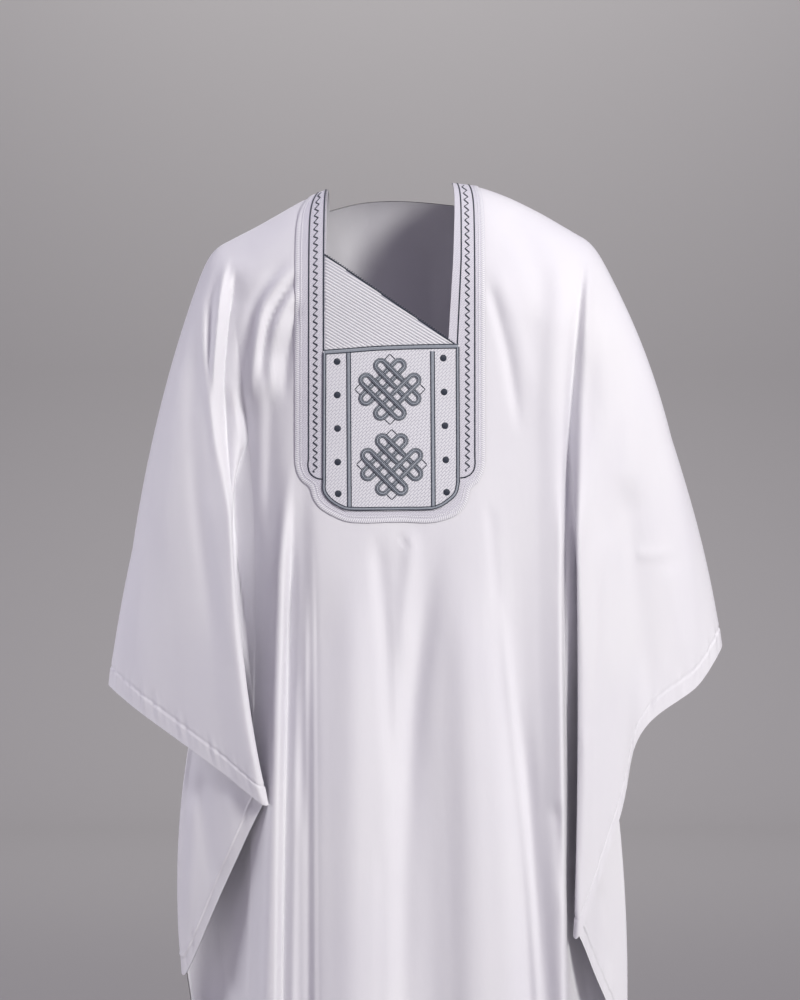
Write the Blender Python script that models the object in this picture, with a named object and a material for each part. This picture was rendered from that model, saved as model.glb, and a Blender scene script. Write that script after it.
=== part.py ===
"""An agbada robe: a wide-sleeved outer kaftan, hanging as it is worn, hollow and open at neck, cuffs and hem.

Metres, +Z up, front towards -Y. The origin is the middle of the neck opening at the height of the shoulders.
The cloth is one surface of points around the wearer. Its rows run down from the shoulder line to the hem or
the cuffs, and its columns are fold lines. Each sewn piece is a closed wall over its own part of those points.
"""

import bpy
import numpy as np
from collections import namedtuple

MM = 0.001

# Cloth and gaps
WALL = 1.5 * MM
PANEL_WALL = 1.2 * MM
SEAM_GAP = 0.3 * MM
LAY_GAP = 0.3 * MM
TIP_GAP = 1.5 * MM

# The garment's length below the shoulder line, and the rows of points along it
LENGTH = 1.36
ROUND_HEIGHT = 0.16
ROUND_ROWS = 9
CHEST_ROWS = (0.185, 0.205, 0.235, 0.270, 0.305)
PANEL_ROWS = (0.345, 0.385, 0.405, 0.4215)
LOWER_ROWS = (0.47, 0.52, 0.57, 0.62, 0.70, 0.78, 0.86, 0.95, 1.04, 1.13, 1.21, 1.29, LENGTH)

# Half depths of the hollow at the chest and at the shoulder blades, and how they change sideways and downwards
FRONT_DEPTH = 0.125
BACK_DEPTH = 0.112
SIDE_CURVE = 0.30
FLARE = 0.020
SHOULDER_FADE = 0.45
CHEST_FOLDS = (0.06, 0.24)
THIGH_FOLDS = (0.30, 0.82)

# Shoulder line: how far out, and how high
SHOULDER_LINE = (
    (-0.204, -0.068),
    (-0.160, -0.045),
    (-0.114, -0.019),
    (-0.079, -0.004),
    (0.082, 0.003),
    (0.116, -0.002),
    (0.174, -0.026),
    (0.236, -0.061),
)

# Fold lines of the front, from the wearer's right to left: x at the shoulder line, under the panel,
# at the thigh and at the hem, and how far each stands out at chest, thigh and hem, in millimetres
Line = namedtuple("Line", "name shoulder chest thigh hem out_chest out_thigh out_hem")
FRONT_LINES = (
    Line("seam_right", -0.204, -0.169, -0.172, -0.182, -14, -24, -30),
    Line("side_slope", -0.188, -0.152, -0.155, -0.166, -3, -4, -4),
    Line("side_ridge", -0.165, -0.133, -0.138, -0.147, 3, 10, 12),
    Line("panel_right", -0.118, -0.117, -0.1205, -0.125, 0, 2, 3),
    Line("deep_valley", -0.106, -0.106, -0.107, -0.107, 0, -15, -19),
    Line("long_edge", -0.093, -0.093, -0.092, -0.088, 0, 5, 8),
    Line("neck_right", -0.079, -0.079, -0.070, -0.061, 0, 9, 12),
    Line("centre_1", -0.047, -0.047, -0.038, -0.025, 0, 9, 12),
    Line("centre_2", -0.015, -0.015, -0.005, 0.008, 0, 5, 7),
    Line("trough", 0.018, 0.018, 0.034, 0.044, 0, -7, -12),
    Line("centre_3", 0.050, 0.050, 0.066, 0.078, 0, -2, -3),
    Line("neck_left", 0.082, 0.082, 0.096, 0.110, 0, 6, 9),
    Line("border_left", 0.100, 0.100, 0.118, 0.134, 0, 8, 13),
    Line("panel_left", 0.117, 0.1155, 0.140, 0.162, 0, 6, 10),
    Line("slant", 0.150, 0.148, 0.164, 0.186, 0, -6, -10),
    Line("side_flat", 0.188, 0.178, 0.186, 0.202, 1, 0, 2),
    Line("side_edge", 0.216, 0.205, 0.2085, 0.218, 4, 9, 12),
    Line("seam_left", 0.236, 0.2145, 0.2175, 0.230, -15, -20, -24),
)
BACK_LINES = (
    Line("seam_left", 0.236, 0.216, 0.214, 0.222, -14, -20, -26),
    Line("side_edge", 0.216, 0.194, 0.192, 0.198, 4, 9, 14),
    Line("side_flat", 0.188, 0.170, 0.168, 0.170, 0, 2, 2),
    Line("slant", 0.150, 0.144, 0.142, 0.142, 0, -9, -15),
    Line("panel_left", 0.117, 0.118, 0.118, 0.116, 0, 7, 12),
    Line("border_left", 0.100, 0.098, 0.094, 0.090, 0, 5, 9),
    Line("neck_left", 0.082, 0.076, 0.066, 0.060, 0, -8, -14),
    Line("middle_1", 0.042, 0.040, 0.036, 0.030, 0, 6, 9),
    Line("middle_2", 0.0015, 0.002, 0.003, 0.004, 0, 9, 15),
    Line("middle_3", -0.039, -0.036, -0.032, -0.026, 0, -2, -4),
    Line("neck_right", -0.079, -0.072, -0.062, -0.056, 0, -9, -15),
    Line("long_edge", -0.093, -0.088, -0.082, -0.080, 0, 2, 5),
    Line("deep_valley", -0.106, -0.102, -0.100, -0.100, 0, 8, 13),
    Line("panel_right", -0.118, -0.118, -0.118, -0.120, 0, 4, 6),
    Line("side_ridge", -0.165, -0.138, -0.136, -0.140, -1, -8, -12),
    Line("side_slope", -0.188, -0.156, -0.156, -0.164, 3, 6, 9),
    Line("seam_right", -0.204, -0.174, -0.178, -0.190, -14, -22, -28),
)

# Fold lines of the sleeves. Each starts at a row of the seam with the body, and runs through a middle point to
# its end at the cuff, side or hem. "turn" is half the width, in millimetres, of a fold that doubles back, and its
# sign is the way that its layers run. The lines between these follow from them.
Fold = namedtuple("Fold", "name row middle end turn")
SLEEVE_RIGHT = (
    Fold("arm_line", 0, (-0.301, 0.000, -0.356), (-0.355, -0.006, -0.626), 0),
    Fold("arm_front", 3, (-0.290, -0.056, -0.350), (-0.322, -0.054, -0.650), 0),
    Fold("sleeve_face", 7, (-0.258, -0.094, -0.385), (-0.256, -0.094, -0.694), 0),
    Fold("sleeve_inner", 10, (-0.224, -0.112, -0.440), (-0.203, -0.120, -0.730), 0),
    Fold("first_fold", 13, (-0.184, -0.128, -0.530), (-0.149, -0.139, -0.765), -6),
    Fold("second_face", 16, (-0.216, -0.096, -0.620), (-0.205, -0.098, -0.870), 0),
    Fold("second_fold", 19, (-0.250, -0.064, -0.700), (-0.260, -0.058, -0.981), 6),
    Fold("side_top", 21, (-0.220, -0.046, -0.820), (-0.242, -0.010, -1.120), 0),
    Fold("side_foot", 22, (-0.200, -0.068, -0.960), (-0.240, -0.003, -1.335), 0),
)
SLEEVE_LEFT = (
    Fold("arm_line", 0, (0.353, 0.000, -0.320), (0.416, -0.006, -0.577), 0),
    Fold("arm_front", 3, (0.345, -0.056, -0.318), (0.384, -0.054, -0.622), 0),
    Fold("sleeve_face", 7, (0.306, -0.094, -0.375), (0.304, -0.090, -0.690), 0),
    Fold("sleeve_inner", 10, (0.268, -0.112, -0.450), (0.2775, -0.108, -0.795), 0),
    Fold("first_fold", 13, (0.228, -0.126, -0.600), (0.223, -0.132, -0.926), 6),
    Fold("second_face", 16, (0.248, -0.100, -0.680), (0.256, -0.104, -0.990), 0),
    Fold("second_fold", 19, (0.276, -0.074, -0.740), (0.291, -0.078, -1.060), -3),
    Fold("side_top", 21, (0.258, -0.050, -0.840), (0.281, -0.010, -1.170), 0),
    Fold("side_foot", 22, (0.240, -0.066, -0.980), (0.278, -0.003, -1.335), 0),
)
# What the back of a sleeve does differently: towards the body, and down
BACK_CHANGES = {
    "first_fold": (-0.022, -0.030),
    "sleeve_inner": (-0.014, -0.018),
    "second_face": (-0.006, -0.010),
    "second_fold": (-0.008, 0.020),
}
BACK_DEPTH_SHARE = 0.90
# The rounded crown of each sleeve: how far out it stands past those lines, and the share of their run it takes
Crown = namedtuple("Crown", "out share")
CROWN_RIGHT = Crown(19.5 * MM, 0.68)
CROWN_LEFT = Crown(13.5 * MM, 0.50)
CROWN_RISE = 0.018
CROWN_ROWS = 9
# Where the points lie along each line's run
RUNS = np.array((0.0, 0.05, 0.14, 0.25, 0.375, 0.50, 0.65, 0.82, 1.0))
# The share of a sleeve line's run over which it takes its own depth, and where it turns to its end's depth
DEPTH_TAKEN = 0.30
DEPTH_TURNS = 0.35
SLEEVE_LINES = 23

# Front neck opening, flap, pocket and panel, as numbers of rows
FLAP_TOP_ROW = 6
NECK_ROW = 11
BACK_NECK_ROW = 3

CLOTH = ("cloth", (0.86, 0.85, 0.88, 1.0), 0.55)
PANEL_CLOTH = ("panel_cloth", (0.84, 0.84, 0.87, 1.0), 0.65)
POCKET_CLOTH = ("pocket_cloth", (0.80, 0.80, 0.84, 1.0), 0.70)


def smooth(t):
    """0 to 1 with no kink at either end."""
    t = np.clip(t, 0.0, 1.0)
    return t * t * (3.0 - 2.0 * t)


def ramp(value, start, end):
    """0 before the start, 1 after the end and smooth between them."""
    return smooth((value - start) / (end - start))


def curve_through(table, x):
    """A smooth curve through the table's points, with the slope at each taken from its neighbours."""
    known = np.array(table)
    xs, ys = known[:, 0], known[:, 1]
    slopes = np.gradient(ys, xs)
    i = int(np.clip(np.searchsorted(xs, x) - 1, 0, len(xs) - 2))
    step = xs[i + 1] - xs[i]
    t = (x - xs[i]) / step
    start = (1 + 2 * t) * (1 - t) ** 2 * ys[i] + t * (1 - t) ** 2 * step * slopes[i]
    return start + t * t * (3 - 2 * t) * ys[i + 1] + t * t * (t - 1) * step * slopes[i + 1]


def row_drops():
    """How far below the shoulder line each row lies. The first rows go round the shoulder by equal angles."""
    angles = np.linspace(0.0, np.pi / 2, ROUND_ROWS + 1)
    return list(ROUND_HEIGHT * (1 - np.cos(angles))) + list(CHEST_ROWS + PANEL_ROWS + LOWER_ROWS)


def line_x(line, drop):
    """Where a body fold line stands, sideways, at a drop below the shoulder line."""
    stations = ((0.0, line.shoulder), (0.42, line.chest), (THIGH_FOLDS[1], line.thigh), (LENGTH, line.hem))
    return curve_through(stations, drop)


def body_point(line, drop, depth, side):
    """A point of the front (side -1) or back (side 1)."""
    x = line_x(line, drop)
    high = curve_through(SHOULDER_LINE, np.clip(x, SHOULDER_LINE[0][0], SHOULDER_LINE[-1][0]))
    z = high * smooth(1 - drop / SHOULDER_FADE) - drop
    over = min(drop / ROUND_HEIGHT, 1.0)
    reach = (depth - SIDE_CURVE * x * x) * np.sqrt(1 - (1 - over) ** 2) + FLARE * max(drop - ROUND_HEIGHT, 0)
    fold = line.out_chest * ramp(drop, *CHEST_FOLDS)
    fold += (line.out_thigh - line.out_chest) * ramp(drop, *THIGH_FOLDS)
    fold += (line.out_hem - line.out_thigh) * ramp(drop, THIGH_FOLDS[1], LENGTH)
    return np.array((x, side * (reach + fold * MM), z))


def body_grid(lines, depth, side):
    """Rows of points down one body panel, in the order of its lines."""
    return np.array([[body_point(line, drop, depth, side) for line in lines] for drop in row_drops()])


def doubled(fold, middle, end):
    """The lines of one fold, by row: one line, or three where the cloth turns back on itself."""
    if not fold.turn:
        return {fold.row: (middle, end)}
    away = fold.turn * MM
    front = np.sign(middle[1]) * abs(away)
    offsets = {-1: np.array((away, front, 0.0)), 0: np.zeros(3), 1: np.array((away, -front, 0.0))}
    return {fold.row + step: (middle + o, end + o) for step, o in offsets.items()}


def moved_back(fold, middle, end, towards_body):
    """A fold line of the front as the back has it."""
    inward, down = BACK_CHANGES.get(fold.name, (0.0, 0.0))
    mirror = np.array((1.0, -BACK_DEPTH_SHARE, 1.0))
    shift = np.array((towards_body * inward, 0.0, down))
    return middle * mirror + shift * 0.5, end * mirror + shift


def half_sleeve_lines(folds, back):
    """Middle and end points of every line of half a sleeve, from the arm line inwards."""
    known = {}
    towards_body = -np.sign(folds[0].middle[0])
    for fold in folds:
        middle, end = np.array(fold.middle), np.array(fold.end)
        if back and fold.row:
            middle, end = moved_back(fold, middle, end, towards_body)
        known.update(doubled(fold, middle, end))
    rows = sorted(known)
    lines = []
    for row in range(SLEEVE_LINES):
        if row in known:
            lines.append(known[row])
            continue
        before = max(r for r in rows if r < row)
        after = min(r for r in rows if r > row)
        share = (row - before) / (after - before)
        lines.append(tuple(p + (q - p) * share for p, q in zip(known[before], known[after])))
    return lines


def sleeve_line(root, middle, end, t):
    """Points along a line from the seam, through the middle, to the end. Its depth comes early."""
    pull = 2 * middle - (root + end) / 2
    run = t[:, None]
    points = root * (1 - run) ** 2 + 2 * pull * run * (1 - run) + end * run * run
    own = middle[1] + (end[1] - middle[1]) * ramp(t, DEPTH_TURNS, 1.0)
    points[:, 1] = root[1] + (own - root[1]) * ramp(t, 0.0, DEPTH_TAKEN)
    return points


def crown_out(crown, row, t):
    """How far out the sleeve's crown stands on one line, along its run."""
    rise = 1 - np.exp(-t / CROWN_RISE)
    fall = 1 - np.clip(t / crown.share, 0, 1) ** 1.5
    return crown.out * rise * fall * (1 - min(row / CROWN_ROWS, 1.0) ** 2) ** 2


def half_sleeve(folds, crown, seam, back):
    """Points of half a sleeve: lines from the body's edge to the cuff, and last the seam itself."""
    lines = half_sleeve_lines(folds, back)
    outwards = np.sign(folds[0].middle[0])
    columns = []
    for row, (middle, end) in enumerate(lines):
        points = sleeve_line(seam[row], middle, end, RUNS)
        points[:, 0] += outwards * crown_out(crown, row, RUNS)
        columns.append(points)
    columns.append(seam[len(lines):])
    return columns


def sleeve_grid(folds, crown, front_seam, back_seam, turn_right):
    """A whole sleeve, as columns from one body seam round the arm line to the other."""
    front = half_sleeve(folds, crown, front_seam, False)
    back = half_sleeve(folds, crown, back_seam, True)
    columns = back[:0:-1] + front if turn_right else front[:0:-1] + back
    return np.stack(columns, axis=1)


def quads(rows, columns):
    """The quads of a stretch of rows and columns, as corners facing outwards."""
    return [((r, c), (r + 1, c), (r + 1, c + 1), (r, c + 1)) for r in rows for c in columns]


def key(point):
    """One name for points that lie together."""
    return tuple(np.round(point / (0.01 * MM)).astype(int))


def unit(vector):
    """The same direction, one long."""
    return vector / np.linalg.norm(vector)


def corner_normal(before, corner, after):
    """A face's normal at one corner, as long as the angle there."""
    to_before, to_after = unit(before - corner), unit(after - corner)
    across = np.cross(to_after, to_before)
    size = np.linalg.norm(across)
    return across / size * np.arctan2(size, np.dot(to_before, to_after)) if size > 1e-9 else np.zeros(3)


def gather_normals(patches):
    """One outward direction for each place, shared by every piece that meets there."""
    normals = {}
    for grid, faces in patches:
        for face in faces:
            corners = [grid[i] for i in face]
            for i, corner in enumerate(corners):
                normal = corner_normal(corners[i - 1], corner, corners[(i + 1) % len(corners)])
                normals[key(corner)] = normals.get(key(corner), np.zeros(3)) + normal
    return {name: unit(normal) for name, normal in normals.items()}


def open_edges(faces):
    """Edges with a face on one side only."""
    edges = {}
    for face in faces:
        for a, b in zip(face, face[1:] + face[:1]):
            edges[(a, b)] = face
    return [edge for edge in edges if (edge[1], edge[0]) not in edges]


def meeting_places(patches):
    """Places where the open edges of two pieces, or two stretches of one, lie together."""
    seen = {}
    for grid, faces in patches:
        for a, b in open_edges(faces):
            pair = frozenset((key(grid[a]), key(grid[b])))
            seen[pair] = seen.get(pair, 0) + 1
    return {pair for pair, times in seen.items() if times > 1}


def seam_pulls(grid, faces, normals, meetings, gap):
    """How far each point on a seam stands back from it."""
    pulls = {}
    for a, b in open_edges(faces):
        if frozenset((key(grid[a]), key(grid[b]))) not in meetings:
            continue
        along = grid[b] - grid[a]
        for corner in (a, b):
            pulls.setdefault(corner, []).append(unit(np.cross(normals[key(grid[corner])], along)))
    return {corner: gap / 2 * unit(sum(inwards)) for corner, inwards in pulls.items()}


def colour_of(name, colour, roughness):
    """One cloth material."""
    material = bpy.data.materials.get(name) or bpy.data.materials.new(name)
    material.use_nodes = True
    shader = material.node_tree.nodes["Principled BSDF"]
    shader.inputs["Base Color"].default_value = colour
    shader.inputs["Roughness"].default_value = roughness
    return material


def cloth_piece(name, grid, faces, normals, pulls, outer, inner, look):
    """A closed wall over some faces of a grid, from "inner" to "outer" along the normals.

    Its rim is cut from the higher end of each edge, so that two pieces that meet are cut alike.
    """
    corners = sorted({corner for face in faces for corner in face})
    number = {corner: i for i, corner in enumerate(corners)}
    count = len(corners)
    places = [grid[corner] + pulls.get(corner, 0.0) for corner in corners]
    outs = [normals[key(grid[corner])] for corner in corners]
    points = [p + n * outer for p, n in zip(places, outs)] + [p + n * inner for p, n in zip(places, outs)]
    skin = in_triangles([[number[corner] for corner in face] for face in faces], points)
    lining = [[i + count for i in reversed(triangle)] for triangle in skin]
    rim = []
    for a, b in ((number[a], number[b]) for a, b in open_edges(faces)):
        if places[a][2] > places[b][2]:
            rim += [(b, a, a + count), (b, a + count, b + count)]
        else:
            rim += [(b, a, b + count), (a, a + count, b + count)]
    mesh = bpy.data.meshes.new(name)
    mesh.from_pydata([tuple(p) for p in points], [], skin + lining + rim)
    mesh.materials.append(colour_of(*look))
    mesh.update()
    piece = bpy.data.objects.new(name, mesh)
    bpy.context.scene.collection.objects.link(piece)
    return piece


def in_triangles(rings, points):
    """Each quad as two triangles, cut along its shorter diagonal."""
    triangles = []
    for ring in rings:
        if len(ring) == 3:
            triangles.append(ring)
            continue
        a, b, c, d = ring
        if np.linalg.norm(points[a] - points[c]) <= np.linalg.norm(points[b] - points[d]):
            triangles += [[a, b, c], [a, c, d]]
        else:
            triangles += [[a, b, d], [b, c, d]]
    return triangles


def column_of(lines, name):
    """The place of a named line."""
    return [line.name for line in lines].index(name)


def front_faces(lines, rows):
    """The front, open down to the neck row between the two neck lines."""
    right, left = column_of(lines, "neck_right"), column_of(lines, "neck_left")
    sides = [c for c in range(len(lines) - 1) if c < right or c >= left]
    below = quads(range(NECK_ROW, rows - 1), range(len(lines) - 1))
    return quads(range(NECK_ROW), sides) + below


def back_faces(lines, rows):
    """The back, with a shallow scoop at the neck."""
    left, right = column_of(lines, "neck_left"), column_of(lines, "neck_right")
    sides = [c for c in range(len(lines) - 1) if c < left or c >= right]
    below = quads(range(BACK_NECK_ROW, rows - 1), range(len(lines) - 1))
    return quads(range(BACK_NECK_ROW), sides) + below


def flap_faces(lines):
    """The flap: what lies below the diagonal from its top row to the neck row."""
    first = column_of(lines, "neck_right")
    faces = []
    for step in range(NECK_ROW - FLAP_TOP_ROW):
        row, column = FLAP_TOP_ROW + step, first + step
        faces.append(((row, column), (row + 1, column), (row + 1, column + 1)))
        faces += quads(range(row + 1, NECK_ROW), [column])
    return faces


def clipped(faces, corner_cells):
    """Faces without the cells named, some of which keep a triangle. Each cell's entry lists its kept corners."""
    kept = []
    for face in faces:
        corners = corner_cells.get(face[0], range(len(face)))
        if corners:
            kept.append(tuple(face[i] for i in corners))
    return kept


def panel_faces(lines, last_row):
    """The neck panel, round the opening and below it, with its two lower corners cut."""
    left, right = column_of(lines, "panel_right"), column_of(lines, "panel_left")
    inner_left, inner_right = column_of(lines, "neck_right"), column_of(lines, "neck_left")
    sides = list(range(left, inner_left)) + list(range(inner_right, right))
    faces = quads(range(NECK_ROW), sides)
    faces += quads(range(NECK_ROW, last_row), range(left, right))
    cut = {
        (last_row - 2, left): (0, 2, 3),
        (last_row - 1, left): None,
        (last_row - 1, left + 1): (0, 2, 3),
        (last_row - 2, right - 1): (0, 1, 3),
        (last_row - 1, right - 1): None,
        (last_row - 1, right - 2): (0, 1, 3),
    }
    return clipped(faces, cut)


def pocket_faces(lines, last_row):
    """The chest pocket, below the neck row, with its two lower corners cut."""
    left, right = column_of(lines, "neck_right"), column_of(lines, "neck_left")
    faces = quads(range(NECK_ROW, last_row), range(left, right))
    cut = {(last_row - 1, left): (0, 2, 3), (last_row - 1, right - 1): (0, 1, 3)}
    return clipped(faces, cut)


def build_robe():
    """Every sewn piece of the robe."""
    drops = row_drops()
    rows = len(drops)
    front = body_grid(FRONT_LINES, FRONT_DEPTH, -1)
    back = body_grid(BACK_LINES, BACK_DEPTH, 1)
    right = sleeve_grid(SLEEVE_RIGHT, CROWN_RIGHT, front[:, 0], back[:, -1], True)
    left = sleeve_grid(SLEEVE_LEFT, CROWN_LEFT, front[:, -1], back[:, 0], False)
    shells = {
        "front_body": (front, front_faces(FRONT_LINES, rows)),
        "back_body": (back, back_faces(BACK_LINES, rows)),
        "sleeve_right": (right, quads(range(right.shape[0] - 1), range(right.shape[1] - 1))),
        "sleeve_left": (left, quads(range(left.shape[0] - 1), range(left.shape[1] - 1))),
    }
    normals = gather_normals(shells.values())
    meetings = meeting_places(shells.values())
    for name, (grid, faces) in shells.items():
        pulls = seam_pulls(grid, faces, normals, meetings, SEAM_GAP)
        cloth_piece(name, grid, faces, normals, pulls, 0.0, -WALL, CLOTH)

    panel_row = drops.index(PANEL_ROWS[-1])
    pocket_row = drops.index(PANEL_ROWS[-2])
    flap_tip = (NECK_ROW, column_of(FRONT_LINES, "neck_left"))
    on_panel = LAY_GAP + PANEL_WALL
    laid = {
        "neck_panel": (panel_faces(FRONT_LINES, panel_row), LAY_GAP, PANEL_CLOTH),
        "neck_flap": (flap_faces(FRONT_LINES), LAY_GAP, PANEL_CLOTH),
        "chest_pocket": (pocket_faces(FRONT_LINES, pocket_row), on_panel + LAY_GAP, POCKET_CLOTH),
    }
    whole = quads(range(rows - 1), range(len(FRONT_LINES) - 1))
    flat_normals = gather_normals([(front, whole)])
    for corner in [(0, c) for c in range(len(FRONT_LINES))]:
        flat_normals[key(front[corner])] = normals.get(key(front[corner]), flat_normals[key(front[corner])])
    beside = meeting_places([(front, laid["neck_panel"][0]), (front, laid["neck_flap"][0])])
    for name, (faces, low, look) in laid.items():
        pulls = seam_pulls(front, faces, flat_normals, beside, SEAM_GAP)
        if name == "neck_flap":
            pulls[flap_tip] = np.array((-TIP_GAP, 0.0, SEAM_GAP))
        cloth_piece(name, front, faces, flat_normals, pulls, low + PANEL_WALL, low, look)


for item in list(bpy.data.objects):
    bpy.data.objects.remove(item, do_unlink=True)
build_robe()
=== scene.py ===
"""The looks of an agbada robe: its cloth, folds, hems and embroidery, in soft light over a plain pale floor.

Metres, +Z up, front towards -Y, as in the frame. The cloth follows the same named lines and folds as the
frame's solids, on finer points, with the smaller creases added. What is sewn on lies by its x and height.
"""

from collections import namedtuple

import bpy
import numpy as np
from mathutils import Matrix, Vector


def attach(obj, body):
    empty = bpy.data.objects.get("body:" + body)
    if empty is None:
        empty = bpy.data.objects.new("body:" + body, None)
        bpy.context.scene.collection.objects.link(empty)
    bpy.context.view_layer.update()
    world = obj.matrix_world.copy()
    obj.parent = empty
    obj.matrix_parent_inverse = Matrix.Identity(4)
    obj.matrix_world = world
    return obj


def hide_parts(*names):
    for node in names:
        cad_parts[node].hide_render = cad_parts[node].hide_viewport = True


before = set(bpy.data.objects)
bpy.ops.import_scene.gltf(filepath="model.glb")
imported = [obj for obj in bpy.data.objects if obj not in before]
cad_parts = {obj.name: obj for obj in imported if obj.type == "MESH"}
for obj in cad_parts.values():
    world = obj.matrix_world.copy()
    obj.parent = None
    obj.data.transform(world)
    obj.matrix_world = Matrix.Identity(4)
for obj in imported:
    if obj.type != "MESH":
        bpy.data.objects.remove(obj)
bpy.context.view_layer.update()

MM = 0.001
TINY = 1e-12

# The shape of the hanging cloth, as the frame's solids have it
LENGTH = 1.36
ROUND_HEIGHT = 0.16
ROUND_ROWS = 9
ROW_DROPS = (
    ROUND_HEIGHT, 0.185, 0.205, 0.235, 0.270, 0.305, 0.345, 0.385, 0.405, 0.4215, 0.47, 0.52, 0.57, 0.62,
    0.70, 0.78, 0.86, 0.95, 1.04, 1.13, 1.21, 1.29, LENGTH,
)
ROWS = np.arange(ROUND_ROWS, ROUND_ROWS + len(ROW_DROPS))
FRONT_DEPTH = 0.125
BACK_DEPTH = 0.112
SIDE_CURVE = 0.30
FLARE = 0.020
SHOULDER_FADE = 0.45
CHEST_FOLDS = (0.06, 0.24)
THIGH_FOLDS = (0.30, 0.82)
CHEST_DROP = 0.42
SHOULDER_LINE = (
    (-0.204, -0.068), (-0.160, -0.045), (-0.114, -0.019), (-0.079, -0.004),
    (0.082, 0.003), (0.116, -0.002), (0.174, -0.026), (0.236, -0.061),
)

# A line's x at the shoulder, chest, thigh and hem, and how many millimetres it stands out at the last three
Line = namedtuple("Line", "name shoulder chest thigh hem out_chest out_thigh out_hem")
FRONT_LINES = (
    Line("seam_right", -0.204, -0.169, -0.172, -0.182, -14, -24, -30),
    Line("side_slope", -0.188, -0.152, -0.155, -0.166, -3, -4, -4),
    Line("side_ridge", -0.165, -0.133, -0.138, -0.147, 3, 10, 12),
    Line("panel_right", -0.118, -0.117, -0.1205, -0.125, 0, 2, 3),
    Line("deep_valley", -0.106, -0.106, -0.107, -0.107, 0, -15, -19),
    Line("long_edge", -0.093, -0.093, -0.092, -0.088, 0, 5, 8),
    Line("neck_right", -0.079, -0.079, -0.070, -0.061, 0, 9, 12),
    Line("centre_1", -0.047, -0.047, -0.038, -0.025, 0, 9, 12),
    Line("centre_2", -0.015, -0.015, -0.005, 0.008, 0, 5, 7),
    Line("trough", 0.018, 0.018, 0.034, 0.044, 0, -7, -12),
    Line("centre_3", 0.050, 0.050, 0.066, 0.078, 0, -2, -3),
    Line("neck_left", 0.082, 0.082, 0.096, 0.110, 0, 6, 9),
    Line("border_left", 0.100, 0.100, 0.118, 0.134, 0, 8, 13),
    Line("panel_left", 0.117, 0.1155, 0.140, 0.162, 0, 6, 10),
    Line("slant", 0.150, 0.148, 0.164, 0.186, 0, -6, -10),
    Line("side_flat", 0.188, 0.178, 0.186, 0.202, 1, 0, 2),
    Line("side_edge", 0.216, 0.205, 0.2085, 0.218, 4, 9, 12),
    Line("seam_left", 0.236, 0.2145, 0.2175, 0.230, -15, -20, -24),
)
BACK_LINES = (
    Line("seam_left", 0.236, 0.216, 0.214, 0.222, -14, -20, -26),
    Line("side_edge", 0.216, 0.194, 0.192, 0.198, 4, 9, 14),
    Line("side_flat", 0.188, 0.170, 0.168, 0.170, 0, 2, 2),
    Line("slant", 0.150, 0.144, 0.142, 0.142, 0, -9, -15),
    Line("panel_left", 0.117, 0.118, 0.118, 0.116, 0, 7, 12),
    Line("border_left", 0.100, 0.098, 0.094, 0.090, 0, 5, 9),
    Line("neck_left", 0.082, 0.076, 0.066, 0.060, 0, -8, -14),
    Line("middle_1", 0.042, 0.040, 0.036, 0.030, 0, 6, 9),
    Line("middle_2", 0.0015, 0.002, 0.003, 0.004, 0, 9, 15),
    Line("middle_3", -0.039, -0.036, -0.032, -0.026, 0, -2, -4),
    Line("neck_right", -0.079, -0.072, -0.062, -0.056, 0, -9, -15),
    Line("long_edge", -0.093, -0.088, -0.082, -0.080, 0, 2, 5),
    Line("deep_valley", -0.106, -0.102, -0.100, -0.100, 0, 8, 13),
    Line("panel_right", -0.118, -0.118, -0.118, -0.120, 0, 4, 6),
    Line("side_ridge", -0.165, -0.138, -0.136, -0.140, -1, -8, -12),
    Line("side_slope", -0.188, -0.156, -0.156, -0.164, 3, 6, 9),
    Line("seam_right", -0.204, -0.174, -0.178, -0.190, -14, -22, -28),
)

# Sleeve folds: the seam row that each starts at, its middle and end points, and how far it doubles back
Fold = namedtuple("Fold", "name row middle end turn")
SLEEVE_RIGHT = (
    Fold("arm_line", 0, (-0.301, 0.000, -0.356), (-0.355, -0.006, -0.626), 0),
    Fold("arm_front", 3, (-0.290, -0.056, -0.350), (-0.322, -0.054, -0.650), 0),
    Fold("sleeve_face", 7, (-0.258, -0.094, -0.385), (-0.256, -0.094, -0.694), 0),
    Fold("sleeve_inner", 10, (-0.224, -0.112, -0.440), (-0.203, -0.120, -0.730), 0),
    Fold("first_fold", 13, (-0.184, -0.128, -0.530), (-0.149, -0.139, -0.765), -6),
    Fold("second_face", 16, (-0.216, -0.096, -0.620), (-0.205, -0.098, -0.870), 0),
    Fold("second_fold", 19, (-0.250, -0.064, -0.700), (-0.260, -0.058, -0.981), 6),
    Fold("side_top", 21, (-0.220, -0.046, -0.820), (-0.242, -0.010, -1.120), 0),
    Fold("side_foot", 22, (-0.200, -0.068, -0.960), (-0.240, -0.003, -1.335), 0),
)
SLEEVE_LEFT = (
    Fold("arm_line", 0, (0.353, 0.000, -0.320), (0.416, -0.006, -0.577), 0),
    Fold("arm_front", 3, (0.345, -0.056, -0.318), (0.384, -0.054, -0.622), 0),
    Fold("sleeve_face", 7, (0.306, -0.094, -0.375), (0.304, -0.090, -0.690), 0),
    Fold("sleeve_inner", 10, (0.268, -0.112, -0.450), (0.2775, -0.108, -0.795), 0),
    Fold("first_fold", 13, (0.228, -0.126, -0.600), (0.223, -0.132, -0.926), 6),
    Fold("second_face", 16, (0.248, -0.100, -0.680), (0.256, -0.104, -0.990), 0),
    Fold("second_fold", 19, (0.276, -0.074, -0.740), (0.291, -0.078, -1.060), -3),
    Fold("side_top", 21, (0.258, -0.050, -0.840), (0.281, -0.010, -1.170), 0),
    Fold("side_foot", 22, (0.240, -0.066, -0.980), (0.278, -0.003, -1.335), 0),
)
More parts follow.
